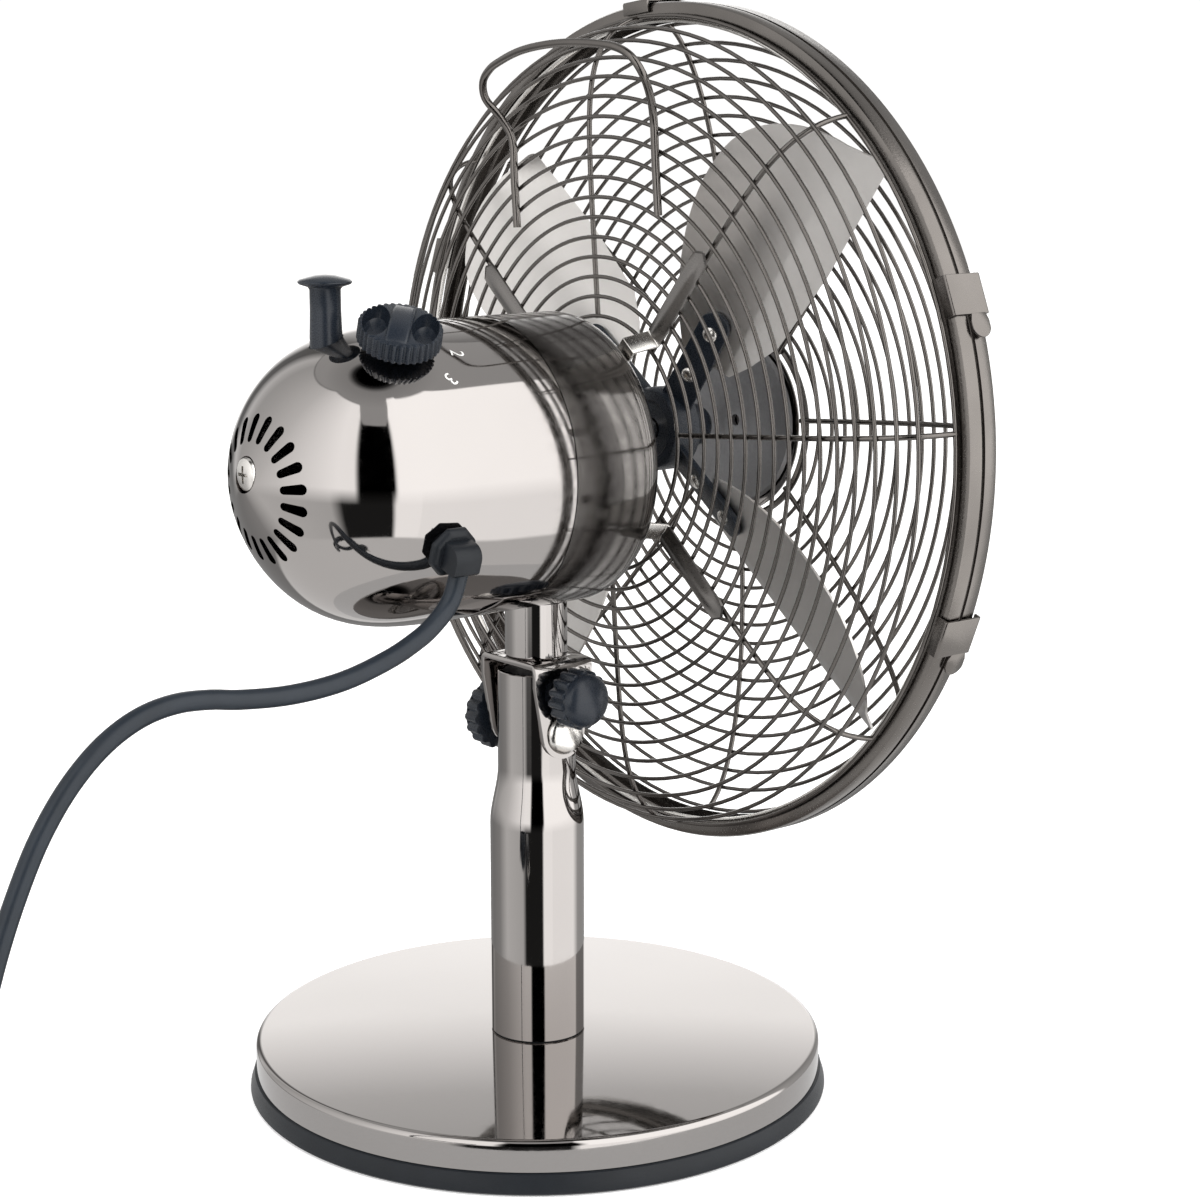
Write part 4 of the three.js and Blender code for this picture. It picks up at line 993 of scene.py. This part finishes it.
def make_clips():
    inside = RIM_RADIUS + 0.5
    rear, front = -64.5, -80.6
    for index, degrees in enumerate((84.5, 158.2, 201.3, 338.7, 21.8)):
        section = [(inside - 4.3, rear), (inside - 4.3, rear + 1), (inside, rear + 1)]
        section += arc(inside, rear, 1, 90, 0, 4) + [(inside + 1, front)] + arc(inside, front, 1, 0, -90, 4)
        section += [(inside - 2, front - 1), (inside - 2, front), (inside, front), (inside, rear)]
        spin = Matrix.Translation((0, 0, SHAFT_Z)) @ Matrix.Rotation(-math.radians(degrees), 4, "Y")
        clasp = plain_object(f"clip_{index + 1}", moved(prism(section, -7.5, 7.5), spin))
        bevel(clasp, 0.25, 2, 50)
        finish_piece(clasp, "rim_metal", f"rim_clip_{index + 1}", (f"rim_clip_{index + 1}",), 30)
        middle = (rear + front) / 2 - 3
        tongue = [(middle + 3.6, 7.2), (middle + 4.6, 10)] + arc(middle, 11.5, 4.8, 20, 160, 12)
        tongue += [(middle - 4.6, 10), (middle - 3.6, 7.2)]
        flat = moved(prism(tongue, inside + 0.1, inside + 1.1), ALONG_X)
        tab = plain_object(f"clip_tongue_{index + 1}", moved(flat, spin))
        bevel(tab, 0.25, 2, 50)
        finish_piece(tab, "rim_metal", f"rim_clip_{index + 1}", (), 30)


def make_badge():
    profile = [(0, -109), (20, -108.8), (30, -108.3), (35.4, -107.4), (37.4, -106.4), (BADGE_RADIUS, -105),
               (BADGE_RADIUS, -104.4), (36.8, -105.2), (34.8, -106.2), (30, -107), (0, -107.6)]
    face = lathe(profile, 96, "Y", (0, 0, SHAFT_Z))
    piece("badge_pressed", face, "smoked_chrome", "motor_head", ("badge",))
    back = [(2.4, -107), (33, -106.3), (34, -105.8), (33, -104.6), (9, -104.2), (8, -104.8), (2.4, -105.2)]
    piece("badge_back_plate", lathe(back, 96, "Y", (0, 0, SHAFT_Z)), "core_steel", "motor_head")
    ring = tube(circle(BADGE_RADIUS + 1.8, front_bowl(BADGE_RADIUS + 1.8), 96), 1.4, 8, True)
    piece("badge_ring", ring, "dark_wire", "motor_head")


def make_handle():
    right = [(44.6, -31, 346), (44.6, -31, 366), (44.8, -31, 382), (47.2, -28, 390), (49.8, -22.5, 398.5),
             (47, -20, 404.8), (40.5, -18.8, 408.9), (30.3, -17.3, 411.4), (15, -15, 413.4)]
    points = right + [(0, -14, 413.9)] + [(-x, y, z) for x, y, z in reversed(right)]
    spin = (Matrix.Translation((0, 0, SHAFT_Z)) @ Matrix.Rotation(-CAGE_TURN, 4, "Y")
            @ Matrix.Translation((0, 0, -SHAFT_Z)))
    shape = moved(tube(smooth_line(points, 8), 1.6, 12), spin)
    piece("handle_wire", shape, "dark_wire", "motor_head", ("handle",), 0, 60)


def make_stays():
    across = (-1, -0.85, -0.4, 0, 0.4, 0.85, 1)
    for index in range(4):
        angle = CAGE_TURN + math.pi / 4 + index * math.pi / 2
        spin = (Matrix.Translation((0, 0, SHAFT_Z)) @ Matrix.Rotation(-angle, 4, "Y")
                @ Matrix.Rotation(-math.pi / 2, 4, "X"))
        start, end, half = 61, 97, 4.3
        lift = rear_bowl(80) + 1.35
        verts = []
        for k in range(19):
            x = start - 7 + (end - start + 7) * k / 18
            width = half
            if x > end - half:
                width = math.sqrt(max(0.0, half * half - (x - end + half) ** 2))
            rise = 1.4 * min(1, max(0, (end - 3 - x) / 8))
            for s in across:
                verts.append((x, width * s, lift + 0.2 + rise * (1 - abs(s)) + 0.25 * (abs(s) > 0.9)))
        wide = len(across)
        corners = [r * wide + c for r in range(18) for c in range(wide - 1)]
        faces = [[a, a + 1, a + wide + 1, a + wide] for a in corners]
        strip = plain_object(f"stay_strip_{index + 1}", moved((verts, faces), spin))
        thick = strip.modifiers.new("sheet", "SOLIDIFY")
        thick.thickness = 0.9 * MM
        thick.offset = 1
        settle(strip)
        finish_piece(strip, "blade_metal", "motor_head", (f"grille_stay_{index + 1}",), 40, STAY_METAL)
        # Foot bent from the stay's inner end back to the housing's front.
        foot = [(54.5, lift + 0.3), (53.2, lift + 0.5), (50.4, -20.2), (44, -20.2), (44, -21.2),
                (49.6, -21.2), (52.3, lift - 0.4), (54.5, lift - 0.6)]
        plate = moved(prism(foot, -4.2, 4.2), ALONG_Y)
        thing = plain_object(f"stay_foot_{index + 1}", moved(plate, spin))
        bevel(thing, 0.25, 2, 40)
        finish_piece(thing, "bright_steel", "motor_head", (), 40)


def make_cage():
    make_grille("rear_grille_wires", rear_bowl, 47, 163.3, 7.6, -1.9, ("rear_grille",))
    make_grille("front_grille_wires", front_bowl, BADGE_RADIUS + 1.8, 161, 7.6, 1.9, ("front_grille",))
    make_rims()
    make_clips()
    make_badge()
    make_handle()
    make_stays()


# ---- stage -------------------------------------------------------------------------------------

def ramp(nodes, links, source, stops):
    """Brightness against a source value; stops are (place, brightness of 0 to 1)."""
    node = nodes.new("ShaderNodeValToRGB")
    elements = node.color_ramp.elements
    while len(elements) < len(stops):
        elements.new(0.5)
    for element, (place, value) in zip(elements, stops):
        element.position = place
        element.color = (value, value, value, 1)
    links.new(source, node.inputs["Fac"])
    return node.outputs["Color"]


def math_node(nodes, links, operation, a, b):
    node = nodes.new("ShaderNodeMath")
    node.operation = operation
    for socket, value in zip(node.inputs, (a, b)):
        if isinstance(value, float):
            socket.default_value = value
        else:
            links.new(value, socket)
    return node.outputs["Value"]


def bearing(degrees):
    """Place of a compass direction of the room on a scale of 0 to 1."""
    return ((degrees + ROOM_TURN + 180) % 360) / 360


def height(degrees):
    return (math.sin(math.radians(degrees)) + 1) / 2


def faded(nodes, links, high, low, softness):
    """Rises from 0 to 1 as one value passes over another."""
    step = math_node(nodes, links, "DIVIDE", math_node(nodes, links, "SUBTRACT", high, low), softness)
    step.node.use_clamp = True
    return step


def make_world():
    """A light tent: two bright panels with a black gap between them, a grey floor and a dark top."""
    world = bpy.data.worlds.new("studio")
    scene.world = world
    world.use_nodes = True
    nodes = world.node_tree.nodes
    links = world.node_tree.links
    background = nodes["Background"]
    place = nodes.new("ShaderNodeTexCoord")
    split = nodes.new("ShaderNodeSeparateXYZ")
    links.new(place.outputs["Generated"], split.inputs["Vector"])
    turn = math_node(nodes, links, "ARCTAN2", split.outputs["Y"], split.outputs["X"])
    turn = math_node(nodes, links, "ADD", math_node(nodes, links, "DIVIDE", turn, TURN), 0.5)
    level = math_node(nodes, links, "ADD", math_node(nodes, links, "MULTIPLY", split.outputs["Z"], 0.5), 0.5)

    panels = [(177.5, 1.0), (246, 1.0), (251, 0.3), (300, 0.18), (338, 0.08), (350, 0.08), (359, 0.4),
              (10, 0.3), (25, 0.35), (60, 0.48), (90, 0.7), (110, 0.85), (122, 0.85), (125.5, 0.0),
              (154.5, 0.0), (158, 1.0), (176.5, 1.0)]
    around = ramp(nodes, links, turn, sorted((bearing(a), v) for a, v in panels))
    low_panels = [(5, 0.14), (35, 0.2), (60, 0.42), (104, 0.36), (112, 0.01), (152, 0.01), (156, 0.85),
                  (176, 0.85), (238, 0.8), (256, 0.27), (320, 0.12)]
    around_low = ramp(nodes, links, turn, sorted((bearing(a), v) for a, v in low_panels))
    tops = [(25, 54), (73, 64), (119, 62), (127, 46), (153, 46), (162, 69), (177.5, 67.5), (221, 63),
            (249, 49), (300, 46), (350, 48)]
    crest = ramp(nodes, links, turn, sorted((bearing(a), height(e)) for a, e in tops))
    above_floor = faded(nodes, links, level, height(-39.5), 0.012)
    below_crest = faded(nodes, links, crest, level, 0.008)
    dark_top = ramp(nodes, links, level, [(height(a), v) for a, v in ((60, 0.26), (74, 0.2), (78, 0.0))])
    back_wall = [(288, 0.0), (305, 0.75), (330, 0.75), (345, 0.0)]
    back = ramp(nodes, links, turn, sorted((bearing(a), v) for a, v in back_wall))
    back_up = ramp(nodes, links, level, [(height(a), v) for a, v in (
        (-8, 0.0), (-3, 1.0), (20, 1.0), (26, 0.5), (44, 0.25), (60, 0.0))])

    raised = faded(nodes, links, level, height(-14), height(-3) - height(-14))
    sides = nodes.new("ShaderNodeMix")
    sides.data_type = "FLOAT"
    for socket, value in zip(sides.inputs[:1] + sides.inputs[2:4], (raised, around_low, around)):
        links.new(value, socket)
    lit = math_node(nodes, links, "MULTIPLY", sides.outputs[0], below_crest)
    lit = math_node(nodes, links, "MAXIMUM", lit, math_node(nodes, links, "MULTIPLY", back, back_up))
    over = math_node(nodes, links, "SUBTRACT", 1.0, below_crest)
    lit = math_node(nodes, links, "MAXIMUM", lit, math_node(nodes, links, "MULTIPLY", over, dark_top))
    lit = math_node(nodes, links, "MULTIPLY", lit, above_floor)
    ground = math_node(nodes, links, "MULTIPLY", math_node(nodes, links, "SUBTRACT", 1.0, above_floor), 0.43)
    tent = math_node(nodes, links, "ADD", lit, ground)

    path = nodes.new("ShaderNodeLightPath")
    seen = nodes.new("ShaderNodeMix")
    seen.data_type = "FLOAT"
    links.new(path.outputs["Is Camera Ray"], seen.inputs[0])
    links.new(math_node(nodes, links, "MULTIPLY", tent, 2.4), seen.inputs[2])
    seen.inputs[3].default_value = 1.05
    links.new(seen.outputs[0], background.inputs["Strength"])
    background.inputs["Color"].default_value = (1, 0.99, 0.98, 1)


def make_floor():
    mesh = bpy.data.meshes.new("floor")
    side = 4
    corners = [(-side, -side), (side, -side), (side, side), (-side, side)]
    mesh.from_pydata([(x, y, -0.0004) for x, y in corners], [], [(0, 1, 2, 3)])
    floor = bpy.data.objects.new("floor", mesh)
    scene.collection.objects.link(floor)
    paper = look("floor_paper", (0.9, 0.9, 0.9), 0.8, 0.0, 0.005, 2, 300, 0.01, 0.05)
    shader = paper.node_tree.nodes["Principled BSDF"]
    shader.inputs["Emission Color"].default_value = (1, 1, 1, 1)
    shader.inputs["Emission Strength"].default_value = 0.42
    mesh.materials.append(paper)
    floor.visible_glossy = False
    make_table()


def make_table():
    """A glowing sheet right round the base, which only mirrors see: a painted reflection of a grey table."""
    sheet = plain_object("table_glow_sheet", rod(165, -0.9, -0.6, 64))
    paper = look("table_reflection_glow", (0.02, 0.02, 0.02), 0.8, 0.0, 0.005, 2, 300, 0.01, 0.05)
    shader = paper.node_tree.nodes["Principled BSDF"]
    shader.inputs["Emission Color"].default_value = (1, 1, 1, 1)
    # Painted reflection: the sheet's own glow, not lamp light on it, gives the grey that the chrome mirrors.
    shader.inputs["Emission Strength"].default_value = 0.78
    sheet.data.materials.append(paper)
    sheet.visible_camera = False
    sheet.visible_diffuse = False
    sheet.visible_shadow = False


def make_lights():
    data = bpy.data.lights.new("overhead", "AREA")
    data.shape = "RECTANGLE"
    data.size = 1.6
    data.size_y = 1.6
    data.energy = 14
    lamp = bpy.data.objects.new("overhead", data)
    scene.collection.objects.link(lamp)
    lamp.location = (-0.5, 0.5, 1.7)
    lamp.rotation_euler = (Vector((0, 0, 0.2)) - lamp.location).to_track_quat("-Z", "Y").to_euler()
    lamp.visible_glossy = False
    lamp.visible_camera = False


def dress_nodes():
    """CAD nodes that stay in sight or sealed inside get their slot's surface."""
    for entry in frame["record"]["subparts"]:
        node = bpy.data.objects.get(entry["node"])
        if node is None or node.type != "MESH":
            continue
        node.data.materials.clear()
        node.data.materials.append(SURFACES[entry["material_slot"]])


make_base()
make_column()
make_yoke()
make_bolts()
make_knobs()
make_housing()
make_gland()
make_dial()
make_numerals()
make_pull_knob()
make_blades()
make_spider()
make_cage()
dress_nodes()
make_world()
make_floor()
make_lights()
scene.view_settings.view_transform = "Standard"
